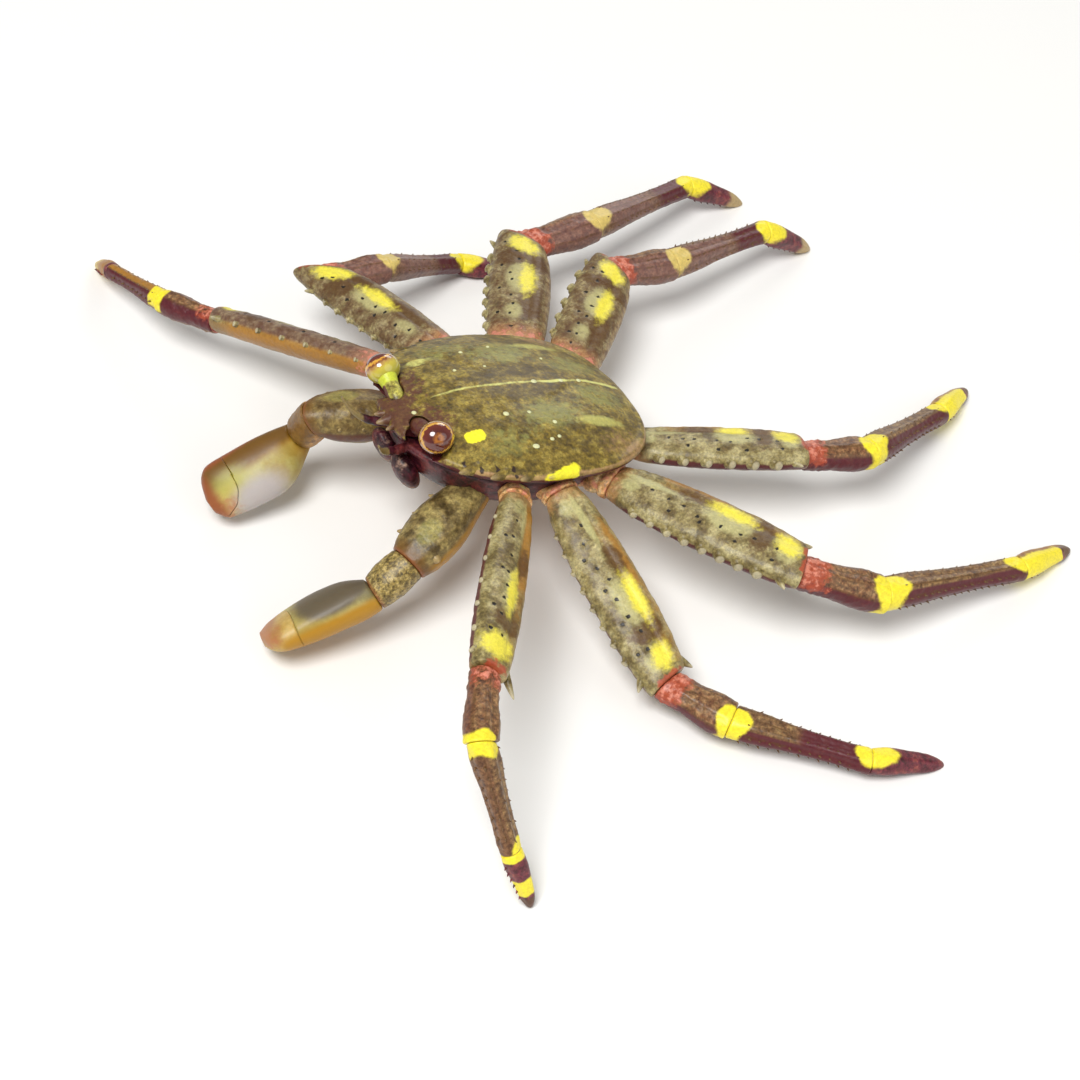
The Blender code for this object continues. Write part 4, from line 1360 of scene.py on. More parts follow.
# Heading round +Z and rise of each segment in degrees. Every tip comes down to the ground.
POSE = {
    (Side.LEFT, 2): ((-124.6, 5), (-122, -4), (-87, -55), (-70, None)),
    (Side.RIGHT, 2): ((120, -11), (120, -10), (103, -14), (90, None)),
    (Side.LEFT, 3): ((-86.2, -21.2), (-59, -9), (-43, -4.2), (-18, None)),
    (Side.RIGHT, 3): ((105, -4), (-3, -9), (18, -26), (-28, None)),
    (Side.LEFT, 4): ((-58, -1.3), (-26, -23), (-2, -12), (10, None)),
    (Side.RIGHT, 4): ((59, -1), (3, -5), (19, -11), (-10, None)),
    (Side.LEFT, 5): ((-29, 1.2), (-11, -14), (21, -17), (28, None)),
    (Side.RIGHT, 5): ((44, 4), (0, -13), (13, -10), (-3, None)),
}
# How far a leg's root slides back and inwards, in mm.
ROOT_SLIDE = {(Side.LEFT, 2): (1.6, 0.0), (Side.LEFT, 5): (0.8, 1.8)}
TIP_LEVEL = 0.02 * MM
PEG_RADIUS, PEG_LENGTH, PEG_SINK = 0.69 * MM, 0.72 * MM, 0.55 * MM
# Outline of each segment, how its depth follows its width, and its other own sizes.
SHAPES = {
    "merus": (((0, 0.62), (0.1, 0.8), (0.35, 0.97), (0.6, 1.0), (0.88, 0.9), (1, 0.76)), 0.6),
    "carpus": (((0, 0.84), (0.3, 0.84), (0.75, 1.0), (1, 0.92)), 1.0),
    "propodus": (((0, 1.0), (0.12, 1.0), (0.45, 0.8), (0.75, 0.72), (1, 0.78)), 1.0),
    "dactylus": (((0, 0.95), (0.2, 1.0), (0.5, 0.82), (0.8, 0.62), (0.92, 0.42), (1, 0.16)), 1.0),
}

EXTRAS = {
    "merus": {"lip": 0.06 * MM, "spacing": 0.22 * MM, "sides": 76},
    "dactylus": {"bow": 0.12 * MM, "spacing": 0.16 * MM, "sides": 40},
}
# Outline of a base, and its width and flatness as shares of its merus'.
EVEN = ((0, 1.0), (0.7, 1.0), (1, 1.0))
BASE_WIDTH, BASE_FLATNESS = 0.68, 1.35
# Rows of spinules round a shin, across and through it, and their distance along it.
SPINULE_ROWS = ((0.95, 0.3), (0.4, 0.9), (-0.5, 0.85), (-0.95, 0.2), (0.85, -0.5))
SPINULE_STEP = 1.15 * MM


class FootTone(Enum):
    """How a foot is banded."""

    DARK_END = "yellow root, dark end"
    YELLOW_END = "brown root, yellow end, brown tip"
    TWO_BANDS = "dark, with a yellow band near its tip"
    GOLD_TIP = "dark red root, golden tip"


FEET = {
    (Side.LEFT, 2): FootTone.TWO_BANDS,
    (Side.LEFT, 4): FootTone.YELLOW_END,
    (Side.LEFT, 5): FootTone.YELLOW_END,
    (Side.RIGHT, 2): FootTone.GOLD_TIP,
}


@dataclass
class WalkingLeg:
    """One walking leg: base, merus, carpus, propodus and dactylus, with the skin of its joints."""

    side: Side
    pair: int

    @property
    def key(self) -> tuple[Side, int]:
        """The leg's key in the tables of pose and colour."""
        return self.side, self.pair

    @property
    def sizes(self) -> LegSizes:
        """The sizes of the leg's pair."""
        return PAIRS[self.pair]

    @property
    def slim(self) -> bool:
        """Whether this is one of the slim legs of the front pair."""
        return self.pair == 2

    @property
    def knuckle(self) -> str:
        """The pigment of the joint between knee and shin: bright on the left, pale on the right."""
        return "yellow" if self.side.left or self.slim else "cream"

    @property
    def lean(self) -> float:
        """Where the knuckle's bright patch lies across the leg.

        Returns:
            The share across, from -1 to 1.
        """
        if self.slim:
            return 0.45 if self.side.left else 0.7
        return 0.35 if self.side.left else -0.12

    def joints(self) -> list[Vector]:
        """World places of hip, root, and the four joints out to the tip.

        Returns:
            The places, from the body outwards.
        """
        slide, inward = ROOT_SLIDE.get(self.key, (0.0, 0.0))
        slid = Vector((slide, -self.side.value * inward, 0)) * MM
        hip, root = (Vector(place) * MM * self.side.mirror for place in (self.sizes.hip, self.sizes.root))
        places = [BODY @ hip, BODY @ (root + slid)]
        for length, (heading, rise) in zip(self.sizes.lengths, POSE[self.key]):
            last = places[-1]
            if rise is None:
                rise = math.degrees(math.asin((TIP_LEVEL - last.z) / (length * MM)))
            places.append(last + along(heading, rise) * (length * MM))
        return places

    def segments(self) -> dict[str, Segment]:
        """The leg's segments by name.

        Returns:
            The segments, from the base to the foot.
        """
        sizes, places = self.sizes, self.joints()
        ways, planes = bends(places)
        planes.append(None)
        axes = [leaf_axes(way, self.side, math.radians(sizes.lift)) for way in ways]
        width = sizes.widths[0] * MM * BASE_WIDTH
        depth = width * sizes.flatness[0] * BASE_FLATNESS
        made = {"base": Segment(*places[:2], (None, planes[0]), axes[0], width, depth, EVEN, sides=48)}
        for k, (name, (shape, fill)) in enumerate(SHAPES.items()):
            width = sizes.widths[k] * MM
            ends, cuts = places[k + 1 : k + 3], tuple(planes[k : k + 2])
            depth = width * sizes.flatness[k]
            made[name] = Segment(*ends, cuts, axes[k + 1], width, depth, shape, fill, **EXTRAS.get(name, {}))
        made["carpus"].sag = sizes.sag * MM
        return made

    def pits(self) -> list[tuple[float, float]]:
        """Places of the dark pits of the broad face, as shares along and across.

        Returns:
            The pits' places.
        """
        draw = np.random.default_rng(40 + 7 * self.pair + self.side.value)
        spots = []
        for k in range(8):
            spots.append((0.2 + 0.092 * k + draw.uniform(-0.02, 0.02), 0.22 + draw.uniform(-0.14, 0.14)))
            if k % 2:
                spots.append((0.23 + 0.09 * k + draw.uniform(-0.03, 0.03), 0.6 + draw.uniform(-0.12, 0.12)))
        return spots

    def merus(self, part: Segment) -> Surface:
        """The broad plate, with a crease behind its middle, pits, and knobs along its front border.

        Args:
            part: The segment that is dressed.

        Returns:
            The plate and its knobs, with their masks.
        """
        plate = part.surface()
        s, u, v = plate.place.T
        pit = np.zeros(len(s))
        for t, across in self.pits():
            reach = np.hypot((s - t) * part.length, (u - across) * part.width / 2) / MM
            pit = np.maximum(pit, smoothstep(0.34, 0.1, reach) * (v > 0))
        crease = -0.16 * np.exp(-((u + 0.28) ** 2) / 0.012) * band(s, 0.12, 0.92, 0.08) * (v > 0)
        keel = 0.12 * np.exp(-((u + 0.6) ** 2) / 0.02) * (v > 0)
        rough = 0.07 * grain(plate.points, 1.3) + 0.04 * grain(plate.points, 0.45, 3.0)
        plate.swell(MM * (crease + keel + rough - 0.16 * pit))
        plate.masks = {**self.plate_marks(plate.place), "pit": pit}
        return Surface.join([plate, *self.knobs(part)])

    def plate_marks(self, place: Array) -> dict[str, Array]:
        """Colour masks of the broad plate: lemon spots, brown clouds and painted pale highlights on a ground
        that darkens to its borders, with painted shade over the right legs.

        Args:
            place: Place of each point on the piece: the shares along, across and through it.

        Returns:
            The masks by name.
        """
        s, u, v = place.T
        left, slim = self.side.left, self.slim
        top = smoothstep(-0.25, 0.2, v)
        # Painted highlights: the pale blobs along the top of the plate, and a painted glint near its root.
        root_glint = (1.0, (0.17, -0.12), (0.13, 0.17), 0.5) if left else (0.7, (0.33, 0.15), (0.07, 0.3), 0.6)
        glow = blobs(s, u, (0.8, (0.09, 0.3), (0.05, 0.3), 0.5), (0.9, (0.6, 0.05), (0.12, 0.4), 0.5),
                     (0.7, (0.9, 0.3), (0.05, 0.3), 0.5), root_glint)
        across = 0.3 if slim else 0.0 if left else 0.12
        half = 0.08 if left and self.pair == 5 else 0.12
        spots = blobs(s, u, (1.0, (0.6, across - 0.34), (half, 0.24), 0.8),
                      (1.0, (0.9, across - 0.15), (0.065, 0.4 + across), 0.7))
        stripe = band(u, -1.1, -0.1, 0.15) * band(s, 0.05, 0.56, 0.06) if slim else 0.0
        if left and not slim:
            stripe = band(u, -0.85, -0.5, 0.15) * band(s, 0.2, 0.56, 0.06)
        if slim and not left:
            stripe = smoothstep(0.35, -0.2, v) * smoothstep(0.1, 0.5, u) * band(s, 0.05, 0.9, 0.08)
            spots = blob(s, u, (0.93, 0.0), (0.05, 0.6), 0.4)
        seam = 0.42 * top * band(u, -1.0, -0.2, 0.15) * band(s, 0.2, 0.97, 0.05) * left
        cloud = blob(s, u, (0.765, -0.1), (0.055, 0.7), 0.6) + 0.8 * blob(s, u, (0.4, -0.35), (0.1, 0.3), 0.6)
        border = smoothstep(0.72, 0.95, u) * smoothstep(0.25, -0.25, v) * band(s, 0.1, 0.98, 0.05)
        end = 0.75 * smoothstep(0.955, 1.0, s) * smoothstep(-0.6, 0.1, v)
        return {
            "under": 1 - smoothstep(-0.5, 0.0, v),
            "flush": 0.5 * smoothstep(0.12, 0.02, s) if left else 0.9 * smoothstep(0.3, 0.14, s),
            "rose": 0.3 * smoothstep(0.06, 0.0, s) if left else 0.9 * smoothstep(0.25, 0.08, s),
            "amber": np.maximum(0.9 * stripe, seam),
            "tan": (0.55 if left else 0.9) * smoothstep(-0.7, -0.95, u),
            "mauve": top * (0.22 * band(u, 0.0, 0.85, 0.15) if left else 0.65 if slim else 0.4),
            # On the right legs the brown is raised by 0.45 over the whole top. This is painted shade that
            # darkens the far side; the clouds are the plate's own colour.
            "maroon": border * left,
            "brown": top * (cloud if left else cloud + 0.45),
            # pale is painted highlight on the top of the plate.
            "pale": top * glow * (0.7 if slim else 1.0),
            "lemon": top * spots,
            "red": end * smoothstep(1.0, 0.5, np.abs(u)),
        }

    def knobs(self, part: Segment) -> list[Surface]:
        """Blunt knobs along the front border of the merus, and a spine at each free corner of its end.

        Args:
            part: The segment that is dressed.

        Returns:
            The knobs and spines.
        """
        across = part.axes[0]
        made = []
        for t in np.linspace(0.17, 0.83, self.sizes.pegs):
            at = part.start.lerp(part.end, t) + across * (part.half_at(t)[0] - 0.18 * MM)
            size = (0.8 + 0.35 * t) * self.sizes.peg_size
            way = part.axis * 0.6 + across
            made.append(spike(at, way, PEG_RADIUS * size, PEG_LENGTH * size, PEG_SINK, blunt=0.6))
        places = self.joints()
        knee = (places[3] - places[2]).normalized()
        t = 0.93
        for border, reach, lean in zip((1, -1), self.sizes.corners, (0.9, 1.25)):
            if knee.dot(across) * border > 0.6:
                continue
            at = part.start.lerp(part.end, t) + across * (border * (part.half_at(t)[0] - 0.45 * MM))
            way = part.axis * lean + across * border
            made.append(spike(at, way, 0.58 * MM, reach * MM, 0.7 * MM, hook=part.axis * 0.2 * MM))
        return made

    def carpus(self, part: Segment) -> Surface:
        """The knee piece, with two ridges, a granular red root and a bright end.

        Args:
            part: The segment that is dressed.

        Returns:
            The piece, with its masks.
        """
        made = part.surface()
        s, u, v = made.place.T
        ridges = 0.16 * np.exp(-((u - 0.35) ** 2) / 0.02) + 0.16 * np.exp(-((u + 0.35) ** 2) / 0.02)
        beads = pebbles(made.points, 0.75) * (0.12 + 0.2 * smoothstep(0.45, 0.1, s))
        made.swell(MM * (ridges * (v > 0) * band(s, 0.1, 0.95, 0.1) + beads * 0.8 - 0.08))
        left, slim = self.side.left, self.slim
        reach = 0.22 if left and not slim else 0.15
        rear = smoothstep(-0.3, -0.7, u) * smoothstep(0.6, 0.1, v)
        made.masks = {
            "under": 0.6 * smoothstep(-0.2, -0.7, v),
            "maroon": smoothstep(0.2, 0.6, u) * smoothstep(0.7, 0.1, v) * (0.45 if left and slim else 1.0),
            "brown": 0.55 * lengthwise(u) * smoothstep(0.0, 0.5, v) * band(s, 0.3, 1.0, 0.1),
            "mauve": 0.7 * rear if left else 0.6 * smoothstep(0.6, 0.1, u),
            "red": smoothstep(0.42, 0.14, s) * smoothstep(-0.6, 0.1, v) * (0.6 if slim else 0.9),
            "rose": 0.55 * smoothstep(0.45, 0.1, s) * smoothstep(-0.2, 0.4, v),
            self.knuckle: blob(s, u, (1.02, self.lean), (reach, 0.75), 0.25) * self.facing(v),
        }
        return made

    def facing(self, v: Array) -> Array:
        """How far the knuckle's patch goes round the leg."""
        return smoothstep(-0.5, 0.1, v + 0.6 * (self.lean > 0))

    def propodus(self, part: Segment) -> Surface:
        """The shin, with ridges that carry rows of spinules.

        Args:
            part: The segment that is dressed.

        Returns:
            The shin and its spinules, with their masks.
        """
        made = part.surface()
        s, u, v = made.place.T
        ridges = 0.09 * np.cos(6 * np.arctan2(v, u)) * band(s, 0.06, 0.94, 0.05)
        rough = 0.05 * grain(made.points, 0.5, 5.0) + 0.03 * pebbles(made.points, 0.45)
        made.swell(MM * (ridges + rough))
        left, slim = self.side.left, self.slim
        border = smoothstep(0.1, 0.45, u) * smoothstep(0.9, 0.6, v) * (0.4 if left and slim else 1.0)
        end = (0.2 if slim else 0.8) * smoothstep(0.5, 0.8, s) * smoothstep(1.0, 0.7, v)
        rear = smoothstep(-0.1, -0.4, u) * smoothstep(0.9, 0.6, v)
        made.masks = {
            "under": 0.5 * smoothstep(-0.6, -0.9, v),
            "maroon": np.maximum(border, end if left else smoothstep(0.45, 0.8, s)),
            "mauve": band(s, 0.05, 0.62, 0.15) * (rear if left else 0.65 * smoothstep(0.7, 0.3, u)),
            "brown": 0.6 * lengthwise(u) * smoothstep(0.0, 0.5, v),
            "yellow": blob(s, u, (1.0, -0.1), (0.12, 0.95), 0.25) * smoothstep(-0.5, 0.0, v),
        }
        if slim and not left:
            made.masks["amber"] = smoothstep(0.1, 0.5, v)
            made.masks["maroon"] *= smoothstep(0.5, 0.1, v)
            made.masks["yellow"] *= 0.0
            del made.masks["mauve"]
        if self.key == (Side.LEFT, 3):
            made.masks["maroon"] = np.maximum(made.masks["maroon"], 0.9 * smoothstep(0.35, 0.6, s))
            made.masks["brown"] *= smoothstep(0.6, 0.35, s)
        start = blob(s, u, (-0.02, self.lean), (0.16, 0.85), 0.2) * self.facing(v)
        made.masks[self.knuckle] = np.maximum(made.masks.get(self.knuckle, 0.0), start)
        spines = []
        count = int(part.length / SPINULE_STEP)
        for row, (u, v) in enumerate(SPINULE_ROWS):
            for k in range(count):
                at, out = part.spot(0.08 + 0.86 * (k + 0.5 * (row % 2)) / count, u, v)
                size = 0.5 + 0.6 * abs(math.sin(1.7 * k + row))
                spines.append(spike(at, out + part.axis * 0.8, 0.11 * MM * size, 0.28 * MM * size, 0.15 * MM))
        rows = Surface.join(spines)
        rows.masks["tip"] *= 0.5
        rows.masks["brown"] = np.full(len(rows.points), 0.6)
        return Surface.join([made, rows])

    def dactylus(self, part: Segment) -> Surface:
        """The foot, with two rows of spines below and a horny tip.

        Args:
            part: The segment that is dressed.

        Returns:
            The foot and its spines, with their masks.
        """
        made = part.surface()
        s, u, v = made.place.T
        furrows = 0.06 * np.cos(5 * np.arctan2(v, u)) * band(s, 0.08, 0.85, 0.08)
        made.swell(MM * (furrows + 0.03 * grain(made.points, 0.5, 9.0)))
        made.points[:, 2] = np.maximum(made.points[:, 2], 0.0)
        made.masks = self.foot_marks(made.place)
        spines = []
        for row in (-0.6, 0.6):
            for k in range(6):
                at, out = part.spot(0.2 + 0.11 * k, row, -0.8)
                if at.z > 0.5 * MM:
                    spines.append(spike(at, out + part.axis * 1.2, 0.1 * MM, 0.22 * MM, 0.15 * MM))
        return Surface.join([made, *spines])

    def foot_marks(self, place: Array) -> dict[str, Array]:
        """Pigment bands of the foot.

        Args:
            place: Place of each point on the piece: the shares along, across and through it.

        Returns:
            The masks by name.
        """
        s, u, v = place.T
        tone = FEET.get(self.key, FootTone.DARK_END)
        if tone is FootTone.DARK_END:
            root = blob(s, u, (0.0, -0.1), (0.33, 0.95), 0.25) * smoothstep(-0.5, 0.0, v)
            return {"yellow": root} if self.side.left else {"yellow": root, "tan": smoothstep(0.62, 0.8, s)}
        if tone is FootTone.GOLD_TIP:
            return {"amber": smoothstep(0.0, 0.15, s), "cream": 0.8 * smoothstep(0.3, 0.8, s)}
        if tone is FootTone.TWO_BANDS:
            bands = np.maximum(smoothstep(0.14, 0.08, s), band(s, 0.45, 0.72, 0.04))
            return {"yellow": bands, "brown": smoothstep(0.75, 0.82, s)}
        return {
            "yellow": smoothstep(0.74, 0.68, s) * (1 - 0.75 * smoothstep(0.1, -0.5, u)),
            "amber": 0.6 * smoothstep(0.3, -0.4, u),
            "brown": smoothstep(0.74, 0.82, s),
            "under": 0.6 * smoothstep(0.7, 0.8, s),
        }

    def base(self, part: Segment) -> Surface:
        """The short base, with the rings of its own joints and a painted glint on its top.

        Args:
            part: The segment that is dressed.

        Returns:
            The piece, with its masks.
        """
        made = part.surface()
        s, u, v = made.place.T
        gaps = ((s - at) * part.length / (0.25 * MM) for at in (0.62, 0.84))
        seams = sum(np.exp(-(gap**2)) for gap in gaps)
        made.swell(MM * (-0.22 * seams + 0.05 * grain(made.points, 0.9)))
        made.masks = {
            "red": 0.45 * band(s, 0.58, 0.66, 0.03),
            "rose": 0.5 * smoothstep(0.55, 0.75, s) * smoothstep(-0.2, 0.5, v),
            # Painted glint on top of the base: a pale oval with a creamy middle.
            "pale": blob(s, u, (0.74, 0.1), (0.06, 0.35)) * smoothstep(0.3, 0.7, v),
            "cream": blob(s, u, (0.74, 0.2), (0.04, 0.15)) * smoothstep(0.3, 0.7, v),
            "maroon": 0.5 * smoothstep(-0.5, -0.9, v),
        }
        return made

    def skins(self, parts: dict[str, Segment]) -> Surface:
        """Soft joint skins: a small cushion inside the gap of each joint.

        Args:
            parts: The leg's segments by name.

        Returns:
            The cushions as one surface, with their mask.
        """
        made = []
        for name in SHAPES:
            part = parts[name]
            half_width, half_depth = part.half_at(0.0)
            radii = Vector((half_width * 0.88, half_depth * 0.88, 0.9 * MM))
            cushion = part.cushion(part.start - part.axes[1] * part.sag, radii)
            cushion.masks["yellow"] = np.full(len(cushion.points), float(name in ("propodus", "dactylus")))
            made.append(cushion)
        return Surface.join(made)

    def build(self) -> None:
        """Make and dress the leg."""
        parts = self.segments()
        leg = f"leg{self.pair}_{self.side.word}"
        for name, maker, finish, slot in (
            ("base", self.base, BASE_SHELL, "joint"),
            ("merus", self.merus, MERUS_SHELL, "shell"),
            ("carpus", self.carpus, CARPUS_SHELL, "knee"),
            ("propodus", self.propodus, PROPODUS_SHELL, "shin"),
            ("dactylus", self.dactylus, DACTYL_SHELL, "foot"),
        ):
            dress(maker(parts[name]), f"{leg}_{name}_shell", finish, f"{leg}_{name}")
        dress(self.skins(parts), f"{leg}_joint_skin", JOINT_SKIN)


@dataclass
class Claw:
    """A claw limb: arm, wrist, swollen palm and the finger that closes down over its blunt end."""

    side: Side
    root: tuple[float, float, float] = (-6.3, 6.7, -5.0)
    lengths: tuple[float, float, float] = (11.8, 4.7, 12.7)
    sink: float = 2.0 * MM
    lift: float = math.radians(15)
    arm: tuple[float, float] = (6.2 * MM, 5.5 * MM)
    wrist: tuple[float, float] = (4.3 * MM, 4.1 * MM)
    thickness: float = 4.4 * MM
    lean: tuple[float, float, float] = (-0.33, 0.81, 0.49)
    top_edge: Curve = (
        (0, 1.8), (0.16, 2.3), (0.38, 2.8), (0.6, 3.1), (0.8, 3.3), (0.88, 3.0), (0.95, 2.0), (1, 0.3),
    )
    low_edge: Curve = (
        (0, -1.5), (0.1, -2.4), (0.24, -3.6), (0.4, -4.1),
        (0.62, -3.8), (0.84, -3.2), (0.94, -2.7), (1, -1.5),
    )
    girth: Curve = ((0, 0.82), (0.15, 1.0), (0.42, 1.02), (0.7, 0.88), (0.9, 0.62), (1, 0.36))
    gape: Curve = ((8.6, 4.9), (8.9, 0.4), (9.7, -1.7), (11.3, -2.7), (14.0, -3.1))
    gape_gap: float = 0.05
    # Spines of the arm: share of its length, way across, through and along it, radius and length in mm.
    spines: tuple[tuple, ...] = (
        (0.4, (1.0, -0.5, 0.0), 0.55, 1.7),
        (0.62, (1.0, 0.0, 0.5), 0.45, 0.9),
        (0.8, (1.0, 0.0, 0.6), 0.5, 1.1),
        (0.86, (-1.0, 0.7, 0.3), 0.8, 0.9),
    )

    @property
    def pose(self) -> tuple[tuple[float, float], ...]:
        """Heading and rise of arm, wrist and hand in degrees.

        Returns:
            The three pairs.
        """
        if self.side.left:
            return ((-156, -15), (-173, -29), (169.6, -19))
        return ((162.4, 3.4), (110, -62), (-174, -20))

    def joints(self) -> list[Vector]:
        """World places of root, elbow, wrist and tip.

        Returns:
            The places, from the body outwards.
        """
        places = [BODY @ (Vector(self.root) * MM * self.side.mirror)]
        for length, (heading, rise) in zip(self.lengths, self.pose):
            places.append(places[-1] + along(heading, rise) * (length * MM))
        return places

    def arm_shell(self, part: Segment) -> Surface:
        """The arm, with a spine by the mouth, pegs inside and a knob over the elbow.

        Args:
            part: The segment that is dressed.

        Returns:
            The arm and its spines, with their masks.
        """
        made = part.surface()
        s, u, v = made.place.T
        ridge = 0.15 * np.exp(-((u + 0.5) ** 2) / 0.03) * (v > 0)
        rough = 0.06 * grain(made.points, 1.0) + 0.03 * grain(made.points, 0.4, 2.0)
        made.swell(MM * (ridge + rough))
        if self.side.left:
            low = {"gold": smoothstep(-0.1, -0.5, v) + smoothstep(-0.3, -0.6, u) * smoothstep(0.7, 0.3, v)}
        else:
            stripe = band(v, -0.7, -0.25, 0.15) * smoothstep(0.2, 0.5, s)
            low = {"maroon": stripe, "pale": smoothstep(-0.7, -0.9, v)}
        made.masks = {
            **low,
            "bronze": np.maximum(0.8 * smoothstep(0.84, 0.96, s), 0.0 if self.side.left else 0.4),
            "rust": 0.6 * smoothstep(0.95, 1.0, s),
            "lime": 0.4 * blob(s, u, (0.75, 0.0), (0.12, 0.4)) * (v > 0),
        }
        across, through = part.axes
        made_spines = []
        for t, (a, b, c), radius, length in self.spines:
            lean = (across * a + through * b + part.axis * c).normalized()
            half_width, half_depth = part.half_at(t)
            reach = across * (lean.dot(across) * half_width) + through * (lean.dot(through) * half_depth)
            at = part.start.lerp(part.end, t) + reach * 0.9
            made_spines.append(spike(at, lean, radius * MM, length * MM, 0.7 * MM))
        return Surface.join([made, *made_spines])

    def wrist_shell(self, part: Segment) -> Surface:
        """The short wrist, speckled on the left and orange on the right.

        Args:
            part: The segment that is dressed.

        Returns:
            The wrist, with its masks.
        """
        made = part.surface()
        s, u, v = made.place.T
        made.swell(MM * 0.1 * pebbles(made.points, 0.7))
        if self.side.left:
            made.masks = {"gold": smoothstep(-0.2, -0.6, v), "rust": 0.6 * smoothstep(0.85, 1.0, s)}
        else:
            made.masks = {"bronze": 0.8 * smoothstep(0.0, 0.7, u), "gold": 0.6 * smoothstep(0.4, 0.9, s)}
        return made

    def hand_axes(self) -> tuple[Vector, Vector, Vector]:
        """Out along the hand, up it towards the moving finger, and through it.

        Returns:
            The three unit vectors.
        """
        places = self.joints()
        direction = (places[3] - places[2]).normalized()
        lean = Vector(self.lean) * self.side.mirror
        height = (lean - direction * lean.dot(direction)).normalized()
        return direction, height, direction.cross(height) * self.side.value

    def hand(self) -> Surface:
        """The whole closed hand in one loft.

        Returns:
            The closed surface in the world.
        """
        places = self.joints()
        wrist, length = places[2], (places[3] - places[2]).length
        plane = np.array(bends(places)[1][1])
        direction, height, through = (np.array(a) for a in self.hand_axes())
        t = np.concatenate(([0, 0.006, 0.016], np.linspace(0.03, 0.93, 56), (0.95, 0.968, 0.982, 0.992, 1.0)))
        top, low = curve(self.top_edge, t) * MM, curve(self.low_edge, t) * MM
        deep = self.thickness / 2 * curve(self.girth, t)
        curl = 0.25 * MM * np.clip(1 - t / 0.016, 0, 1) ** 2
        u, v = oval(72, 2.3)
        rise = (top + low)[:, None] / 2 + u * (top - low - 2 * curl)[:, None] / 2
        offset = plot(rise, v * (deep - curl)[:, None], height, through)
        lean = np.maximum(0, 1 - t / 0.3)[:, None]
        shift = t[:, None] * length + lean * (SEAM / 2 - offset @ plane) / (direction @ plane)
        return Surface.loft(np.array(wrist) + shift[..., None] * direction + offset)

    def gape_block(self, shift: float) -> Surface:
        """A prism over the moving finger's side of the gape, shifted off the gape line.

        Args:
            shift: How far the prism lies off the gape line, in mm.

        Returns:
            The closed prism in the world.
        """
        wrist = self.joints()[2]
        direction, height, through = self.hand_axes()
        t = np.linspace(self.gape[0][1], self.gape[-1][1], 24)
        line = tuple((-h, a) for a, h in self.gape)
        profile = [(float(a) + shift, float(h) + shift) for a, h in zip(curve(line, -t), t)]
        profile += [(14.5, 5.6), (9.0 + shift, 6.0)]
        back = through * self.thickness
        near = [wrist + direction * (a * MM) + height * (h * MM) - back for a, h in profile]
        far = [point + through * (2 * self.thickness) for point in near]
        count = len(profile)
        points = np.array([tuple(p) for p in near + far])
        faces = [(i, (i + 1) % count, count + (i + 1) % count, count + i) for i in range(count)]
        faces += [tuple(range(count)), tuple(reversed(range(count, 2 * count)))]
        return Surface(points, faces, np.zeros_like(points))

    def paint(self, points: Array) -> dict[str, Array]:
        """Colour masks of the hand from places in the world.

        Args:
            points: Places of the points in the world.

        Returns:
            The masks by name.
        """
        wrist = np.array(self.joints()[2])
        direction, height, through = (np.array(a) for a in self.hand_axes())
        offset = (points - wrist) / MM
        a, h, d = offset @ direction, offset @ height, offset @ through
        s = a / self.lengths[2]
        if not self.side.left:
            return {
                "violet": blob(a, h, (7.6, -3.1), (3.4, 2.2), 0.8),
                "lime": 0.7 * blob(a, h, (9.6, 0.0), (2.6, 1.6), 0.8),
                "gold": smoothstep(-0.6, 1.2, h) * band(s, 0.1, 0.8, 0.12) + 0.6 * smoothstep(0.25, 0.05, s),
                "bronze": smoothstep(-0.8, 1.2, h),
                "rust": np.maximum(smoothstep(2.1, 3.3, h), smoothstep(0.82, 0.98, s)),
                "pink": 0.6 * blob(a, h, (11.0, -2.6), (1.2, 1.2), 0.8),
            }
        return {
            "gold": smoothstep(-0.9, 0.5, d) * band(s, -0.05, 0.85, 0.1),
            "slate": blob(s, d, (0.32, -2.5), (0.36, 2.0), 0.4),
            "olive": 0.8 * smoothstep(0.3, 0.0, s) * smoothstep(0.6, -0.6, d),
            "rust": 0.6 * smoothstep(0.7, 0.9, s) * smoothstep(1.2, -0.6, d),
            "pink": 0.8 * smoothstep(0.75, 0.95, s) * smoothstep(1.2, -0.6, d),
        }

    def build(self) -> None:
        """Make and dress the claw."""
        places = self.joints()
        ways, planes = bends(places)
        axes = [leaf_axes(way, self.side, self.lift) for way in ways]
        arm = Segment(
            places[0] - ways[0] * self.sink, places[1], (None, planes[0]), axes[0], *self.arm,
            ((0, 0.5), (0.3, 0.76), (0.65, 1.0), (0.88, 0.88), (1, 0.7)), sides=64,
        )
        wrist = Segment(
            places[1], places[2], (planes[0], planes[1]), axes[1], *self.wrist,
            ((0, 0.96), (0.5, 1.0), (1, 0.86)), spacing=0.16 * MM,
        )
        claw = f"claw_{self.side.word}"
        dress(self.arm_shell(arm), f"{claw}_arm_shell", ARM_SHELL, f"{claw}_arm")
        finish = SPECKLED_WRIST if self.side.left else WRIST_SHELL
        dress(self.wrist_shell(wrist), f"{claw}_wrist_shell", finish, f"{claw}_wrist")
        elbow = wrist.cushion(wrist.start, Vector((1.7, 1.6, 0.9)) * MM)
        knuckle = wrist.cushion(wrist.end, Vector((1.2, 1.2, 0.8)) * MM)
        dress(Surface.join([elbow, knuckle]), f"{claw}_joint_skin", JOINT_SKIN)
        for name, operation, shift, finish, slot in (
            ("palm", "DIFFERENCE", 0.0, PALM_SHELL, "palm"),
            ("finger", "INTERSECT", self.gape_gap, FINGER_SHELL, "knee"),
        ):
            made = self.hand().carve([self.gape_block(shift)], operation)
            made.masks = self.paint(made.points)
            dress(made, f"{claw}_{name}_shell", finish, f"{claw}_{name}")


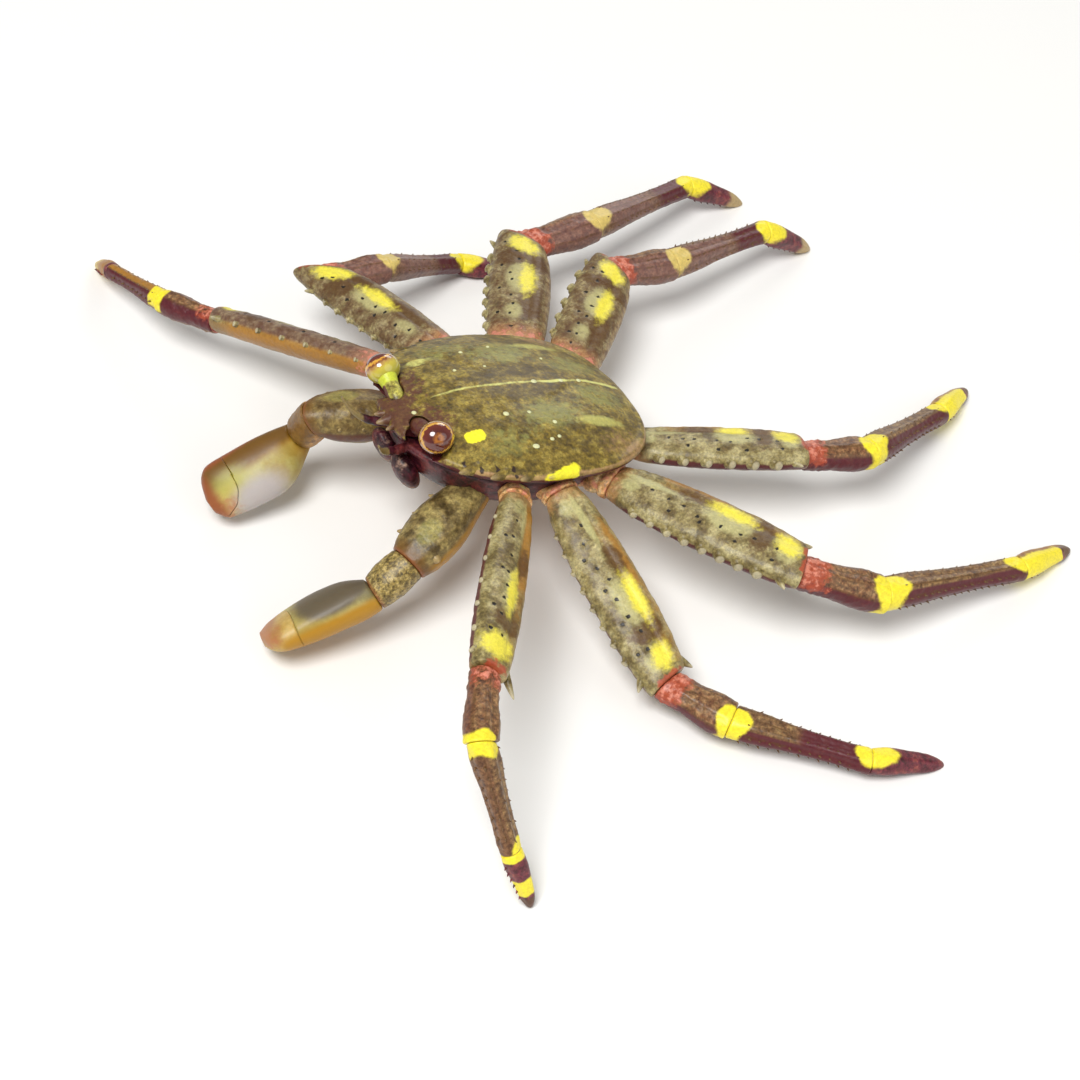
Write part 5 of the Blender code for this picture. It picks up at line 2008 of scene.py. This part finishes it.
@dataclass
class Studio:
    """Pale floor, soft light and the camera at the photograph's angle."""

    place: Vector = field(default_factory=lambda: Vector((-90.58, -149.13, 176.21)) * MM)
    right: Vector = field(default_factory=lambda: Vector((0.8750, -0.4789, 0.0707)))
    up: Vector = field(default_factory=lambda: Vector((0.3044, 0.6579, 0.6888)))
    forward: Vector = field(default_factory=lambda: Vector((0.3764, 0.5812, -0.7215)))
    lens: float = 72.36
    sensor: float = 36.0
    reach: float = 3.0
    sky: float = 0.36
    # Name, place, size and power of each lamp.
    lamps: tuple[tuple[str, tuple[float, float, float], float, float], ...] = (
        ("key", (-0.28, -0.16, 0.6), 0.34, 4.2),
        ("fill", (0.3, -0.6, 0.4), 0.7, 1.3),
        ("back", (0.5, 0.5, 0.35), 0.4, 1.2),
    )

    def camera(self) -> None:
        """Set the camera."""
        data = bpy.data.cameras.new("camera")
        data.lens, data.sensor_width = self.lens, self.sensor
        data.clip_start, data.clip_end = 0.01, 10.0
        camera = bpy.data.objects.new("camera", data)
        turn = Matrix((self.right, self.up, -self.forward)).transposed().to_4x4()
        middle = Vector((BODY_PLACE.x, BODY_PLACE.y, 0))
        camera.matrix_world = Matrix.Translation(self.place + middle) @ turn
        bpy.context.scene.collection.objects.link(camera)
        bpy.context.scene.camera = camera

    def floor(self) -> None:
        """Lay the floor."""
        mesh = bpy.data.meshes.new("floor")
        corners = [(x * self.reach, y * self.reach, 0) for x, y in ((-1, -1), (1, -1), (1, 1), (-1, 1))]
        mesh.from_pydata(corners, [], [(0, 1, 2, 3)])
        mesh.materials.append(StudioFloor().material())
        floor = bpy.data.objects.new("floor", mesh)
        bpy.context.scene.collection.objects.link(floor)

    def lights(self) -> None:
        """Hang a broad key light, a fill and a light from behind, under a pale sky."""
        for name, place, size, power in self.lamps:
            data = bpy.data.lights.new(name, "AREA")
            data.shape, data.size, data.energy = "DISK", size, power
            lamp = bpy.data.objects.new(name, data)
            lamp.location = place
            lamp.rotation_mode = "QUATERNION"
            lamp.rotation_quaternion = (-Vector(place)).to_track_quat("-Z", "Y")
            bpy.context.scene.collection.objects.link(lamp)
        world = bpy.data.worlds.new("studio")
        world.use_nodes = True
        background = world.node_tree.nodes["Background"]
        background.inputs["Color"].default_value = linear("#f4f4f2")
        background.inputs["Strength"].default_value = self.sky
        bpy.context.scene.world = world
        bpy.context.scene.view_settings.view_transform = "Standard"

    def build(self) -> None:
        """Set up the studio."""
        self.camera()
        self.floor()
        self.lights()


def main() -> None:
    """Build the studio and then the crab from its back outwards."""
    logging.basicConfig(level=logging.INFO, format="%(message)s")
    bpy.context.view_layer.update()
    Studio().build()
    face = Face()
    Carapace().build(face)
    UnderBody().build()
    face.build()
    for side in Side:
        for pair in PAIRS:
            WalkingLeg(side, pair).build()
        Claw(side).build()


if __name__ == "__main__":
    main()
